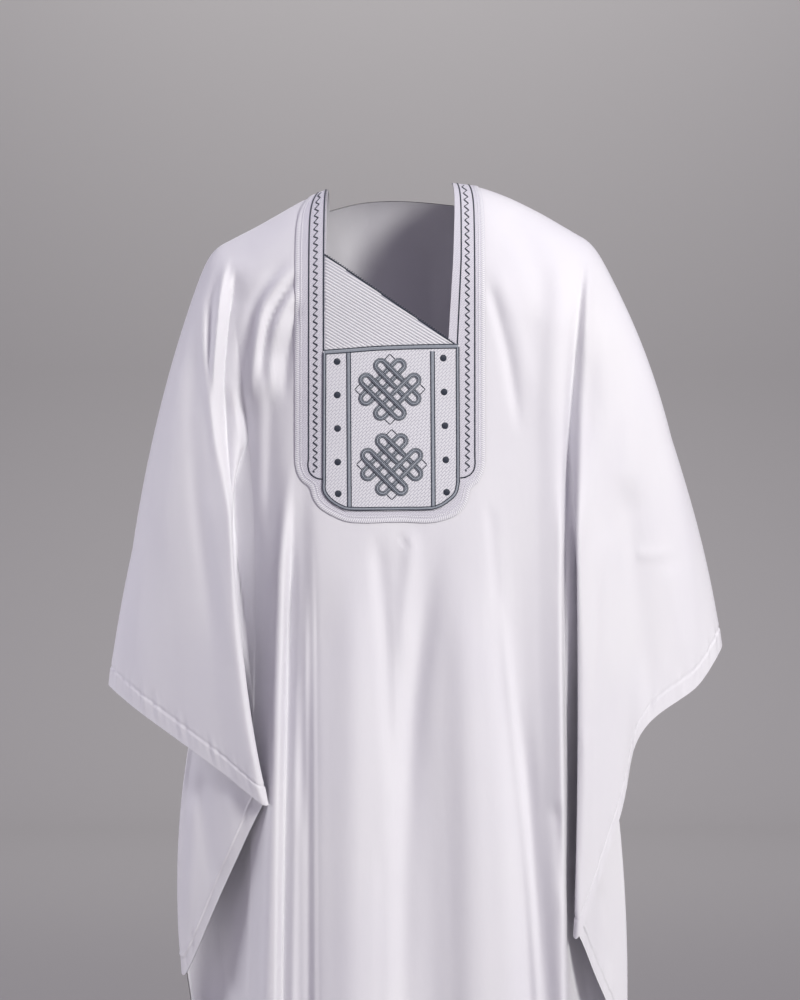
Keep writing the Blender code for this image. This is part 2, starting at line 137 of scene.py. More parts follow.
BACK_CHANGES = {
    "first_fold": (-0.022, -0.030),
    "sleeve_inner": (-0.014, -0.018),
    "second_face": (-0.006, -0.010),
    "second_fold": (-0.008, 0.020),
}
BACK_DEPTH_SHARE = 0.90
Crown = namedtuple("Crown", "out share")
CROWN_RIGHT = Crown(19.5 * MM, 0.68)
CROWN_LEFT = Crown(13.5 * MM, 0.50)
CROWN_RISE = 0.018
CROWN_ROWS = 9
RUNS = np.array((0.0, 0.05, 0.14, 0.25, 0.375, 0.50, 0.65, 0.82, 1.0))
DEPTH_TAKEN = 0.30
DEPTH_TURNS = 0.35
LAST_LINE = 22
FIRST_FOLD = 13

# Cloth
CLOTH_THICK = 0.8 * MM
PANEL_THICK = 1.2 * MM
PANEL_LIFT = 1.5 * MM
POCKET_LIFT = 3.0 * MM
HEM_WIDTH = 24 * MM
HEM_RAISE = 0.5 * MM
HEM_GROOVE = 0.9 * MM
HEM_EDGE = 3 * MM
GROOVE_WIDTH = 1.6 * MM
PUCKER_DEPTH = 1.2 * MM
PUCKER_LENGTHS = (0.013, 0.019, 0.031)
PUCKER_MIDDLE = HEM_WIDTH * 0.85
PUCKER_SPREAD = HEM_WIDTH * 0.6


def smooth(t):
    """0 to 1 with no kink at either end."""
    t = np.clip(t, 0.0, 1.0)
    return t * t * (3.0 - 2.0 * t)


def ramp(value, start, end):
    """0 before the start, 1 after the end and smooth between them."""
    return smooth((value - start) / (end - start))


def smooth_through(places, values, at):
    """A smooth curve through values at known places, along their first axis."""
    places = np.asarray(places, float)
    values = np.asarray(values, float)
    at = np.asarray(at, float)
    slopes = np.gradient(values, places, axis=0)
    i = np.clip(np.searchsorted(places, at, side="right") - 1, 0, len(places) - 2)
    step = places[i + 1] - places[i]
    t = (at - places[i]) / step
    shape = (-1,) + (1,) * (values.ndim - 1)
    t, step = t.reshape(shape), step.reshape(shape)
    start = (1 + 2 * t) * (1 - t) ** 2 * values[i] + t * (1 - t) ** 2 * step * slopes[i]
    return start + t * t * (3 - 2 * t) * values[i + 1] + t * t * (t - 1) * step * slopes[i + 1]


def drop_of(row):
    """How far below the shoulder line a row lies. The first rows go round the shoulder by equal angles."""
    row = np.asarray(row, float)
    round_part = ROUND_HEIGHT * (1 - np.cos(np.clip(row / ROUND_ROWS, 0, 1) * np.pi / 2))
    below = np.interp(row, ROWS, ROW_DROPS)
    return np.where(row <= ROUND_ROWS, round_part, below)


def row_of(drop):
    """The row that lies at a drop below the shoulder line."""
    drop = np.asarray(drop, float)
    round_part = np.arccos(np.clip(1 - drop / ROUND_HEIGHT, 0, 1)) / (np.pi / 2) * ROUND_ROWS
    below = np.interp(drop, ROW_DROPS, ROWS)
    return np.where(drop <= ROUND_HEIGHT, round_part, below)


def shoulder_height(x):
    """Height of the shoulder line at an x."""
    places = [p[0] for p in SHOULDER_LINE]
    return smooth_through(places, [p[1] for p in SHOULDER_LINE], np.clip(x, places[0], places[-1]))


def line_points(line, drops, depth, side):
    """Points of a body fold line at some drops."""
    stations = (0.0, CHEST_DROP, THIGH_FOLDS[1], LENGTH)
    x = smooth_through(stations, (line.shoulder, line.chest, line.thigh, line.hem), drops)
    z = shoulder_height(x) * smooth(1 - drops / SHOULDER_FADE) - drops
    over = np.clip(drops / ROUND_HEIGHT, 0, 1)
    reach = (depth - SIDE_CURVE * x * x) * np.sqrt(1 - (1 - over) ** 2)
    reach = reach + FLARE * np.maximum(drops - ROUND_HEIGHT, 0)
    fold = line.out_chest * ramp(drops, *CHEST_FOLDS)
    fold = fold + (line.out_thigh - line.out_chest) * ramp(drops, *THIGH_FOLDS)
    fold = fold + (line.out_hem - line.out_thigh) * ramp(drops, THIGH_FOLDS[1], LENGTH)
    return np.stack((x, side * (reach + fold * MM), z), axis=1)


def body_surface(lines, depth, side, drops, columns):
    """Points of the front or back, by drops and by places between its lines."""
    known = np.stack([line_points(line, drops, depth, side) for line in lines])
    return smooth_through(np.arange(len(lines)), known, columns).transpose(1, 0, 2)


def line_index(lines, name):
    """The place of a named line."""
    return [line.name for line in lines].index(name)


def fold_keys(folds):
    """Where a sleeve's lines run, round the sleeve from the back seam to the front one."""
    towards_body = -np.sign(folds[0].middle[0])
    keys = {}
    for fold in folds:
        for half in (1, -1):
            if not fold.row and half < 0:
                continue
            middle, end = np.array(fold.middle), np.array(fold.end)
            if half < 0:
                inward, down = BACK_CHANGES.get(fold.name, (0.0, 0.0))
                mirror = np.array((1.0, -BACK_DEPTH_SHARE, 1.0))
                shift = np.array((towards_body * inward, 0.0, down))
                middle, end = middle * mirror + shift * 0.5, end * mirror + shift
            away = fold.turn * MM
            depth = np.sign(middle[1]) * abs(away)
            for step in (-1, 0, 1) if fold.turn else (0,):
                offset = np.array((away * abs(step), -step * depth, 0.0))
                keys[half * (fold.row + step)] = (middle + offset, end + offset)
    return keys


def seams(wearer_left, rows):
    """Points of a sleeve's seams with the front and with the back, by rows."""
    front = line_points(FRONT_LINES[-1 if wearer_left else 0], drop_of(rows), FRONT_DEPTH, -1)
    return front, line_points(BACK_LINES[0 if wearer_left else -1], drop_of(rows), BACK_DEPTH, 1)


def run_of_lines(root, middle, end, t):
    """Points down many sleeve lines: from the seam, through the middle, to the end."""
    pull = 2 * middle - (root + end) / 2
    run = t[:, None, None]
    points = root * (1 - run) ** 2 + 2 * pull * run * (1 - run) + end * run * run
    own = middle[:, 1] + (end[:, 1] - middle[:, 1]) * ramp(t, DEPTH_TURNS, 1.0)[:, None]
    points[:, :, 1] = root[:, 1] + (own - root[:, 1]) * ramp(t, 0.0, DEPTH_TAKEN)[:, None]
    return points


def crown_out(crown, rows, t):
    """How far out the sleeve's crown stands on some lines, along their run."""
    rise = 1 - np.exp(-t / CROWN_RISE)
    fall = 1 - np.clip(t / crown.share, 0, 1) ** 1.5
    lines = (1 - np.minimum(rows / CROWN_ROWS, 1) ** 2) ** 2
    return crown.out * (rise * fall)[:, None] * lines[None, :]


def seam_rows(t):
    """The rows of the seam beside which a sleeve's lines reach some shares of their run."""
    return LAST_LINE + 1 + np.interp(t, RUNS, np.arange(len(RUNS)))


def sleeve_surface(folds, wearer_left, t, around):
    """Points of a sleeve, by shares of each line's run and by places round it from back to front seam."""
    keys = fold_keys(folds)
    places = sorted(keys)
    inner = np.clip(around, -LAST_LINE, LAST_LINE)
    middle = smooth_through(places, [keys[p][0] for p in places], inner)
    end = smooth_through(places, [keys[p][1] for p in places], inner)
    front_rows = np.abs(around)
    root = np.where((around >= 0)[:, None], *seams(wearer_left, front_rows))
    points = run_of_lines(root, middle, end, t)
    out = crown_out(CROWN_LEFT if wearer_left else CROWN_RIGHT, front_rows, t)
    points[..., 0] += np.sign(folds[0].middle[0]) * out
    for side, seam in zip((1, -1), seams(wearer_left, seam_rows(t))):
        beyond = np.where(around * side > LAST_LINE)[0]
        last = np.argmin(np.abs(around - side * LAST_LINE))
        line = points[:, last].copy()
        for column in beyond:
            share = abs(around[column]) - LAST_LINE
            blend = line * (1 - share) + seam * share
            lift = (root[column] - blend[0])[None, :] * ((1 - t) ** 3)[:, None]
            points[:, column] = blend + lift
    return points


# How far the right sleeve's upper fold is drawn back from the body, in millimetres, by height
FOLD_HEIGHTS = (-0.60, -0.54, -0.48, -0.43, -0.39, -0.35, -0.30)
FOLD_DRAWN = (0, 3, 9, 14, 15, 9, 0)
FOLD_PLACE = 15
FOLD_SPREAD = 2.5
FOLD_STARTS = 0.10


def fold_drawn(points, t, around):
    """The right sleeve with its upper fold drawn back, so that a dark gap opens beside the body."""
    drawn = np.interp(-points[..., 2], -np.array(FOLD_HEIGHTS[::-1]), np.array(FOLD_DRAWN[::-1]) * MM)
    near = np.exp(-(((around - FOLD_PLACE) / FOLD_SPREAD) ** 2))[None, :] * ramp(t, 0.0, FOLD_STARTS)[:, None]
    moved = points.copy()
    moved[..., 0] -= drawn * near
    return moved


def unit(vectors):
    """Vectors made one long."""
    return vectors / np.maximum(np.linalg.norm(vectors, axis=-1, keepdims=True), TINY)


def surface_normals(points):
    """Directions square to a grid of points, rows first."""
    return unit(np.cross(np.gradient(points, axis=0), np.gradient(points, axis=1)))


# The camera, and how its picture of 800 by 1000 maps to the robe
CAMERA_PLACE = (0.01125, -4.2, -0.394)
PICTURE_MIDDLE = (400, 500)
LENS = 120.0
FILM_HEIGHT = 36.0
PIXELS_PER_SLOPE = 1000 * LENS / FILM_HEIGHT

# Creases, by the layer that they are on. Each lies along a few points of the camera's picture, as if seen
# through the robe for hidden ones. It spreads to its left and right by so many of the picture's pixels. A
# ridge stands out by its depth in millimetres, and a trough goes in. Power 2 gives a soft top, and 1 a sharp
# edge.
Crease = namedtuple("Crease", "path left right depth power", defaults=(2.0,))


def even(path, width, depth):
    """A crease that spreads as far to both sides."""
    return Crease(path, width, width, depth)


FRONT_CREASES = (
    # The wearer's right shoulder and the folds that fan out from the panel
    even(((298, 262), (280, 280), (264, 303), (257, 332), (251, 375), (249, 420)), 5, 6.4),
    even(((299, 273), (284, 292), (270, 316), (263, 346), (261, 390)), 3.4, -4.8),
    even(((299, 288), (288, 302), (279, 322), (272, 358), (270, 410)), 4.4, 6),
    even(((299, 300), (293, 322), (287, 356), (284, 410)), 4.6, -4.6),
    even(((291, 258), (268, 282), (252, 312), (246, 350), (246, 400)), 8, -4.6),
    even(((300, 215), (272, 240), (250, 262)), 13, 2.2),
    Crease(((277, 322), (273, 366), (271, 420), (270, 480), (266, 560)), 9, 20, -10),
    Crease(((294, 440), (287, 490), (281, 540), (277, 600), (275, 680), (272, 800), (266, 980),
            (262, 1300)), 5, 6.5, 6),
    Crease(((295, 490), (290, 560), (287, 640), (286, 700), (284, 780), (282, 900),
            (279, 1300)), 2.8, 9.5, -25),
    Crease(((305, 560), (305, 700), (305, 800), (305, 900), (304.5, 1300)), 6.5, 4, 7.5),
    Crease(((302, 760), (302, 900), (302, 1000), (301, 1300)), 6, 4, 4.5),
    Crease(((314, 520), (316, 620), (317, 760), (318, 980), (319, 1300)), 4, 30, -3.8, 1),
    Crease(((237, 262), (231, 297), (226, 340), (223, 380), (223, 420), (226, 462),
            (232, 520)), 3.5, 32, -17, 1),
    Crease(((224, 384), (225, 425), (228, 465), (233, 520), (238, 580)), 3, 26, -12, 1),
    # Middle and the wearer's left
    Crease(((392, 590), (394, 660), (396, 710), (397.5, 775)), 4, 1.8, 1.6, 1.4),
    Crease(((377, 524), (380, 570), (386, 640), (390, 730), (392, 800)), 8, 9, -4),
    Crease(((440, 522), (430, 575), (421, 640), (411, 720), (405, 800), (402, 880), (402, 990),
            (400, 1300)), 12, 13, -8.5),
    even(((411, 524), (410, 560), (405, 610), (401, 680)), 8, 3.4),
    even(((402, 536), (406, 546), (410, 552)), 3, -1.4),
    even(((352, 540), (353, 640), (354, 760), (352, 900), (350, 1250)), 17, 4),
    Crease(((462, 560), (464, 640), (466, 760), (468, 900), (470, 1250)), 17, 24, 4),
    Crease(((500, 590), (506, 650), (513, 724), (521, 800), (528, 870), (536, 990),
            (552, 1250)), 5, 3.2, 3),
    Crease(((518, 690), (526, 760), (535, 860), (546, 990), (562, 1250)), 6, 9, -4.2),
    even(((488, 278), (497, 312), (507, 352), (515, 400), (521, 440)), 5.5, -3.2),
    even(((492, 258), (508, 300), (522, 350), (530, 410)), 9, 1.6),
    even(((505, 205), (527, 240), (541, 280), (546, 330)), 14, -2.6),
    even(((560, 245), (556, 300), (549, 380), (546, 480)), 12, 2),
    even(((489, 500), (494, 560), (497, 620)), 5, -1.2),
    even(((556, 800), (562, 860), (566, 915)), 7, -4),
    even(((586, 246), (580, 304), (575, 372), (569, 438), (568, 508), (570, 580)), 3.8, -5),
    Crease(((569, 470), (569, 560), (569, 700), (570, 830), (572, 960)), 9, 7, 13),
    even(((384, 820), (382, 900), (381, 1000), (380, 1200)), 7, -2),
    # The wearer's right sleeve: two ridges that meet, and what runs down from them
    Crease(((229, 252), (221, 290), (217, 330), (214, 370), (213, 412)), 4, 3.4, 6),
    Crease(((203, 286), (203, 335), (207, 380), (213, 430), (221, 490)), 4.6, 4.2, 4.2),
    Crease(((217, 272), (211, 312), (208, 356), (209, 400)), 4, 3.4, -3),
    even(((196, 320), (192, 400), (195, 480), (205, 570), (220, 680)), 9, -3.2),
    even(((208, 250), (190, 330), (176, 420), (168, 520), (170, 640)), 12, 2.8),
    even(((180, 380), (160, 470), (148, 570), (146, 670)), 12, -2.4),
    even(((208, 480), (222, 580), (238, 690)), 10, 2.2),
    even(((150, 520), (136, 600), (126, 680)), 9, 1.8),
    # The wearer's left sleeve
    even(((590, 252), (588, 300), (583, 380), (578, 460), (578, 560), (580, 680)), 6, 4.4),
    even(((600, 262), (612, 330), (618, 420), (616, 520)), 10, -2.2),
    even(((606, 300), (616, 380), (622, 470), (624, 540)), 12, 1.8),
    Crease(((626, 470), (631, 540), (637, 600), (642, 660), (648, 740)), 13, 15, -7),
    even(((634, 553), (652, 555), (676, 550)), 6, 1.6),
    even(((606, 520), (608, 620), (612, 720)), 9, 2.6),
    even(((596, 560), (594, 680), (592, 800)), 6, -1.8),
    even(((668, 560), (680, 620), (690, 680)), 11, 2),
    even(((586, 720), (585, 800), (582, 880)), 5, 2),
)
INNER_CREASES = (
    Crease(((219, 372), (221, 410), (225, 460), (231, 525), (239, 590), (247, 650),
            (256, 720)), 8, 30, -32, 1),
)
# The layers that show under the cuffs
UNDER_CREASES = (
    even(((200, 770), (206, 830), (214, 900)), 7, -3),
    even(((228, 790), (232, 830), (226, 880)), 8, 2.6),
    even(((194, 790), (192, 860), (188, 940)), 6, 2.6),
    even(((218, 930), (224, 960), (228, 1000)), 5, -3),
    even(((600, 880), (604, 930), (612, 990)), 6, -2.6),
    even(((588, 900), (592, 950), (600, 1000)), 5, 2.4),
    even(((232, 1010), (236, 1060), (240, 1150)), 6, -3),
)
BACK_CREASES = (
    even(((330, 215), (318, 300), (306, 420), (300, 560)), 11, 4),
    even(((345, 230), (342, 330), (330, 470), (322, 640)), 9, -3.6),
    even(((372, 222), (368, 320), (360, 440), (356, 620)), 10, 2.8),
    even(((398, 240), (396, 380), (400, 560), (404, 760)), 10, -3),
    even(((430, 225), (432, 340), (440, 480), (444, 640)), 9, 3),
    even(((452, 220), (464, 320), (478, 430), (486, 560)), 9, -3.8),
    even(((470, 205), (492, 290), (508, 400), (516, 540)), 11, 3.6),
    even(((520, 225), (540, 300), (552, 400), (556, 520)), 9, -3),
    even(((286, 225), (272, 300), (262, 400), (262, 520)), 9, -3.2),
    even(((380, 700), (384, 860), (382, 1040), (380, 1240)), 11, 3.4),
    even(((340, 640), (334, 820), (336, 1000), (338, 1220)), 9, -3.2),
    even(((460, 620), (466, 800), (462, 1000), (466, 1240)), 11, 3.2),
    even(((500, 560), (508, 720), (508, 900), (512, 1150)), 8, -3.4),
    even(((210, 262), (198, 340), (190, 440), (186, 560)), 9, 4),
    even(((226, 262), (222, 350), (222, 450), (230, 580)), 7, -4),
    even(((196, 320), (172, 420), (154, 540), (146, 650)), 10, -2.8),
    even(((600, 262), (614, 350), (626, 460), (632, 590)), 10, 3.6),
    even(((586, 262), (588, 360), (584, 480), (580, 640)), 7, -4.2),
    even(((622, 330), (650, 440), (668, 560), (674, 660)), 11, -2.6),
    even(((206, 560), (212, 660), (222, 760)), 9, 2.4),
    even(((604, 600), (602, 700), (598, 820)), 8, 2.6),
)
UNDER_BACK_CREASES = (
    even(((206, 800), (202, 900), (206, 1040)), 8, -3),
    even(((594, 900), (600, 1000), (604, 1120)), 8, -3),
)
CREASE_STEPS = 14
CREASE_START = 0.16
CREASE_END = 0.34
CREASE_REACH = 6
NEAR_EDGE = 0.05


def in_picture(points):
    """Where points show in the camera's picture."""
    away = points[..., 1] - CAMERA_PLACE[1]
    across = PICTURE_MIDDLE[0] + (points[..., 0] - CAMERA_PLACE[0]) / away * PIXELS_PER_SLOPE
    down = PICTURE_MIDDLE[1] - (points[..., 2] - CAMERA_PLACE[2]) / away * PIXELS_PER_SLOPE
    return across, down


def along_path(path, across, down):
    """How far places in the picture lie from a path, how far along it, and whether to its right."""
    lengths = np.linalg.norm(np.diff(path, axis=0), axis=1)
    starts = np.concatenate(([0.0], np.cumsum(lengths)))
    nearest = np.full(across.shape, np.inf)
    place = np.zeros(across.shape)
    right = np.zeros(across.shape, bool)
    for i, length in enumerate(lengths):
        step = (path[i + 1] - path[i]) / length
        from_start = across - path[i][0], down - path[i][1]
        run = np.clip(from_start[0] * step[0] + from_start[1] * step[1], 0, length)
        away = np.hypot(from_start[0] - step[0] * run, from_start[1] - step[1] * run)
        nearer = away < nearest
        place = np.where(nearer, starts[i] + run, place)
        right = np.where(nearer, step[0] * from_start[1] < step[1] * from_start[0], right)
        nearest = np.minimum(away, nearest)
    return nearest, place / starts[-1], right


def crease_depth(creases, points):
    """How far some creases stand out at each point."""
    across, down = in_picture(points)
    total = np.zeros(across.shape)
    for crease in creases:
        path = smoothed(crease.path, CREASE_STEPS)
        reach = CREASE_REACH / crease.power * max(crease.left, crease.right)
        low, high = path.min(axis=0) - reach, path.max(axis=0) + reach
        near = (across > low[0]) & (across < high[0]) & (down > low[1]) & (down < high[1])
        if not near.any():
            continue
        away, share, right = along_path(path, across[near], down[near])
        ends = smooth(share / CREASE_START) * smooth((1 - share) / CREASE_END)
        width = np.where(right, crease.right, crease.left)
        total[near] += crease.depth * MM * np.exp(-((away / width) ** crease.power)) * ends
    return total


def creased(points, under=0.0, inner=1.0):
    """A grid with its creases pressed in, towards the front or back, but not near the arm and shoulder lines.

    "under" is 1 where a layer lies under another, and "inner" where it is the body or joins it.
    """
    y = points[..., 1]
    front, back = smooth(-y / NEAR_EDGE), smooth(y / NEAR_EDGE)
    moved = points.copy()
    for creases, share in (
        (FRONT_CREASES, -front * (1 - under)),
        (BACK_CREASES, back * (1 - under)),
        (UNDER_CREASES, -front * under),
        (UNDER_BACK_CREASES, back * under),
        (INNER_CREASES, -front * inner),
    ):
        moved[..., 1] += crease_depth(creases, points) * share
    return moved


def run_along(path):
    """How far along a path each of its points lies."""
    return np.concatenate(([0.0], np.cumsum(np.linalg.norm(np.diff(path, axis=0), axis=1))))


def smoothed(path, count):
    """A given path as a smooth one of so many points."""
    places = run_along(path)
    return smooth_through(places, path, np.linspace(0, places[-1], count))


def stepped(path, step, least):
    """A given path as a smooth one with its points about a step apart."""
    return smoothed(path, max(int(run_along(path)[-1] / step), least))


def hemmed(points, from_edge, along, seed, outside=1):
    """A grid with a turned hem: a slightly raised band, a groove at its stitches and small puckers there."""
    normals = surface_normals(points) * outside
    random = np.random.default_rng(seed)
    band = HEM_RAISE * smooth((HEM_WIDTH - from_edge) / HEM_EDGE)
    groove = -HEM_GROOVE * np.exp(-(((from_edge - HEM_WIDTH) / GROOVE_WIDTH) ** 2))
    waves = np.zeros_like(along)
    for length in PUCKER_LENGTHS:
        sway = 1.5 * np.sin(along / (length * 2.7))
        waves += np.sin(along * 2 * np.pi / length + random.uniform(0, 6.3) + sway)
    near = np.exp(-(((from_edge - PUCKER_MIDDLE) / PUCKER_SPREAD) ** 2))
    move = band + groove + PUCKER_DEPTH * waves / 3 * near
    return points + normals * move[..., None]


def added(name, data):
    """A new object in the scene."""
    thing = bpy.data.objects.new(name, data)
    bpy.context.scene.collection.objects.link(thing)
    return thing


def mesh_piece(name, points, faces, uvs, material):
    """A smooth-shaded piece. UVs are one pair for each point, in metres."""
    mesh = bpy.data.meshes.new(name)
    mesh.from_pydata(points.tolist(), [], faces.tolist() if hasattr(faces, "tolist") else faces)
    if uvs is not None:
        layer = mesh.uv_layers.new(name="cut")
        corners = np.empty(len(mesh.loops), dtype=np.int32)
        mesh.loops.foreach_get("vertex_index", corners)
        layer.data.foreach_set("uv", np.asarray(uvs, np.float32)[corners].ravel())
    mesh.polygons.foreach_set("use_smooth", [True] * len(mesh.polygons))
    mesh.materials.append(material)
    mesh.update()
    return added(name, mesh)


def grid_faces(rows, columns, kept=None):
    """Quads over a grid of points, facing out."""
    r, c = np.meshgrid(np.arange(rows - 1), np.arange(columns - 1), indexing="ij")
    first = (r * columns + c)[kept] if kept is not None else (r * columns + c).ravel()
    return np.stack((first, first + columns, first + columns + 1, first + 1), axis=1)


def measured(points):
    """For each point of a grid, metres across it and metres down it."""
    across = np.linalg.norm(np.diff(points, axis=1), axis=2)
    down = np.linalg.norm(np.diff(points, axis=0), axis=2)
    across = np.concatenate((np.zeros((len(points), 1)), np.cumsum(across, axis=1)), axis=1)
    down = np.concatenate((np.zeros((1, points.shape[1])), np.cumsum(down, axis=0)), axis=0)
    return across, down


def rim_edges(faces, count):
    """Edges with a face on one side only, as they run in that face."""
    starts, ends = faces.ravel(), np.roll(faces, -1, axis=1).ravel()
    lone = ~np.isin(starts * count + ends, ends * count + starts)
    return starts[lone], ends[lone]


def grid_piece(name, points, material, thick, kept=None, normals=None):
    """A thin closed wall over a grid, or over some of its cells, shaded by its normals."""
    across, down = measured(points)
    if normals is None:
        normals = surface_normals(points)
    rows, columns = points.shape[:2]
    used, faces = np.unique(grid_faces(rows, columns, kept), return_inverse=True)
    faces = faces.reshape(-1, 4)
    count = len(used)
    places, outward = points.reshape(-1, 3)[used], normals.reshape(-1, 3)[used]
    uvs = np.stack((across.ravel(), down.ravel()), axis=1)[used]
    starts, ends = rim_edges(faces, count)
    rim = np.stack((ends, starts, starts + count, ends + count), axis=1)
    every = np.vstack((faces, faces[:, ::-1] + count, rim))
    both = np.vstack((places, places - outward * thick))
    piece = mesh_piece(name, both, every, np.vstack((uvs, uvs)), material)
    along = both[rim[:, 0]] - both[rim[:, 1]]
    square = np.repeat(unit(np.cross(outward[rim[:, 1]], along)), 4, axis=0)
    shades = np.vstack((outward[faces.ravel()], -outward[faces[:, ::-1].ravel()], square))
    piece.data.normals_split_custom_set(shades.tolist())
    return piece


def fill(tree, node, inputs):
    """Sets a node's inputs to values, or links them to other nodes' outputs."""
    for name, value in inputs.items():
        if isinstance(value, bpy.types.NodeSocket):
            tree.links.new(value, node.inputs[name])
        else:
            node.inputs[name].default_value = value


def add_node(tree, kind, inputs, **settings):
    """A new node with its settings and inputs."""
    node = tree.nodes.new("ShaderNode" + kind)
    for name, value in settings.items():
        setattr(node, name, value)
    fill(tree, node, inputs)
    return node


def new_material(name, colour, roughness, sheen=0.0, specular=0.5):
    """A principled material, its nodes and its shader."""
    material = bpy.data.materials.new(name)
    material.use_nodes = True
    tree = material.node_tree
    shader = tree.nodes["Principled BSDF"]
    fill(tree, shader, {"Base Color": (*colour, 1.0), "Roughness": roughness, "Specular IOR Level": specular,
                        "Sheen Weight": sheen, "Sheen Roughness": 0.4})
    return material, tree, shader


def coordinates(tree, output, scale=(1, 1, 1), turn=0.0):
    """Texture coordinates in metres times a scale, turned by an angle."""
    source = add_node(tree, "TexCoord", {}).outputs[output]
    inputs = {"Vector": source, "Scale": scale, "Rotation": (0, 0, turn)}
    return add_node(tree, "Mapping", inputs).outputs["Vector"]


def noise(tree, vector, scale, detail, roughness=0.5):
    """A noise value."""
    inputs = {"Vector": vector, "Scale": scale, "Detail": detail, "Roughness": roughness}
    return add_node(tree, "TexNoise", inputs).outputs["Fac"]


def bands(tree, vector, pitch, distortion, direction="X"):
    """Even waves across one direction, one to a pitch in metres."""
    inputs = {"Vector": vector, "Scale": np.pi / 10 / pitch, "Distortion": distortion, "Detail": 1.0,
              "Detail Scale": 1.5}
    return add_node(tree, "TexWave", inputs, wave_type="BANDS", bands_direction=direction).outputs["Fac"]


def bump(tree, height, distance, strength, onto=None):
    """Relief from a height, on top of another."""
    inputs = {"Height": height, "Distance": distance, "Strength": strength}
    if onto is not None:
        inputs["Normal"] = onto
    return add_node(tree, "Bump", inputs).outputs["Normal"]


def mixed(tree, factor, low, high):
    """A colour between two, by a factor."""
    inputs = {"Factor": factor, "A": (*low, 1.0), "B": (*high, 1.0)}
    return add_node(tree, "Mix", inputs, data_type="RGBA").outputs["Result"]


def shaped(tree, value, low, high):
    """A value stretched so that low gives 0 and high gives 1."""
    return add_node(tree, "MapRange", {"Value": value, "From Min": low, "From Max": high}).outputs["Result"]


def cloth_material():
    """Plain-woven white cotton with a soft sheen, a fine weave and faint handling wrinkles."""
    material, tree, shader = new_material("white_cloth", (0.80, 0.79, 0.83), 0.58, sheen=0.25, specular=0.35)
    cut = coordinates(tree, "UV")
    place = coordinates(tree, "Object", (1.0, 1.0, 0.45))
    tone = shaped(tree, noise(tree, place, 9.0, 4.0), 0.3, 0.7)
    wrinkles = bump(tree, noise(tree, place, 22.0, 5.0, 0.55), 1.6 * MM, 0.5)
    warp = bump(tree, bands(tree, cut, 0.7 * MM, 0.4), 0.06 * MM, 0.6, wrinkles)
    weft = bump(tree, bands(tree, cut, 0.8 * MM, 0.4, "Y"), 0.06 * MM, 0.6, warp)
    colour = mixed(tree, tone, (0.785, 0.775, 0.820), (0.825, 0.818, 0.845))
    fill(tree, shader, {"Base Color": colour, "Normal": weft})
    return material


def stitched_material(name, pitch, turn, depth, low, high):
    """White cloth covered with rows of short slanting stitches, with painted shade in the gaps between them.
    """
    material, tree, shader = new_material(name, high, 0.6, sheen=0.2, specular=0.3)
    split = add_node(tree, "SeparateXYZ", {"Vector": coordinates(tree, "Object")}).outputs
    flat = add_node(tree, "CombineXYZ", {"X": split["X"], "Y": split["Z"]}).outputs["Vector"]
    turned = add_node(tree, "Mapping", {"Vector": flat, "Rotation": (0, 0, -turn)}).outputs["Vector"]
    stitches = add_node(tree, "TexBrick", {
        "Vector": turned, "Scale": 1.0, "Brick Width": pitch * 2.6, "Row Height": pitch,
        "Mortar Size": pitch * 0.20, "Mortar Smooth": 0.8,
    }).outputs["Fac"]
    relief = bump(tree, stitches, -depth, 0.9)
    # Painted shade: the low colour fills the gaps between the stitches.
    fill(tree, shader, {"Base Color": mixed(tree, stitches, high, low), "Normal": relief})
    return material


def thread_material(name, colour, light, roughness=0.42, pitch=0.55 * MM):
    """Satin stitches: fine threads that lie across the line they cover, in bands of painted shade and painted
    highlight.
    """
    material, tree, shader = new_material(name, colour, roughness, sheen=0.05, specular=0.4)
    threads = bands(tree, coordinates(tree, "UV", turn=0.35), pitch, 0.6)
    relief = bump(tree, threads, 0.12 * MM, 0.9)
    fill(tree, shader, {"Base Color": mixed(tree, threads, colour, light), "Normal": relief})
    return material


CLOTH = cloth_material()
# The panel's ground is darker and more lilac than the cloth: partly its own stitched texture, partly painted
# shade.
PANEL = stitched_material("panel_ground", 2.2 * MM, 0.65, 0.25 * MM, (0.58, 0.565, 0.64), (0.74, 0.73, 0.79))
POCKET = stitched_material("pocket_ground", 2.8 * MM, 0.8, 0.3 * MM, (0.56, 0.555, 0.62), (0.80, 0.80, 0.835))
# Painted shade: the flap's cloth is grey so that the grooves between its white cords look shaded.
RIB_GROOVE_SHADE = new_material("rib_groove_shade", (0.44, 0.435, 0.49), 0.8)[0]
RIBS = thread_material("flap_ribs_white", (0.76, 0.76, 0.79), (0.84, 0.84, 0.86), 0.55, 1.1 * MM)
# Painted shade: the white thread's grey-lilac colour darkens the gaps between its stitches.
WHITE_THREAD = thread_material("white_thread", (0.56, 0.555, 0.62), (0.90, 0.90, 0.91), 0.5, 2.4 * MM)
DARK_THREAD = thread_material("dark_thread", (0.018, 0.024, 0.038), (0.045, 0.055, 0.080))
GREY_THREAD = thread_material("grey_thread", (0.235, 0.262, 0.305), (0.400, 0.430, 0.480))


# The four large pieces of cloth

BODY_ACROSS = 8
HEM_TOP = LENGTH - 0.042
ROW_STEP = 0.0066
FRONT_NECK_ROW = 11
BACK_NECK_ROW = 3


# Drops of the fine rows: close together round the shoulder and at the hem
BODY_DROPS = np.sort(np.concatenate((
    drop_of(np.linspace(0, ROUND_ROWS, 37)),
    np.arange(ROUND_HEIGHT, HEM_TOP - 0.003, ROW_STEP)[1:],
    np.linspace(HEM_TOP, LENGTH, 22),
)))


def body_columns(lines):
    """The fine columns, as places between lines."""
    return np.linspace(0, len(lines) - 1, (len(lines) - 1) * BODY_ACROSS + 1)


def body_grid(lines, depth, side, seed):
    """Fine points of the front or the back, with its creases and hem."""
    points = creased(body_surface(lines, depth, side, BODY_DROPS, body_columns(lines)))
    across, down = measured(points)
    return hemmed(points, down[-1] - down, across, seed)


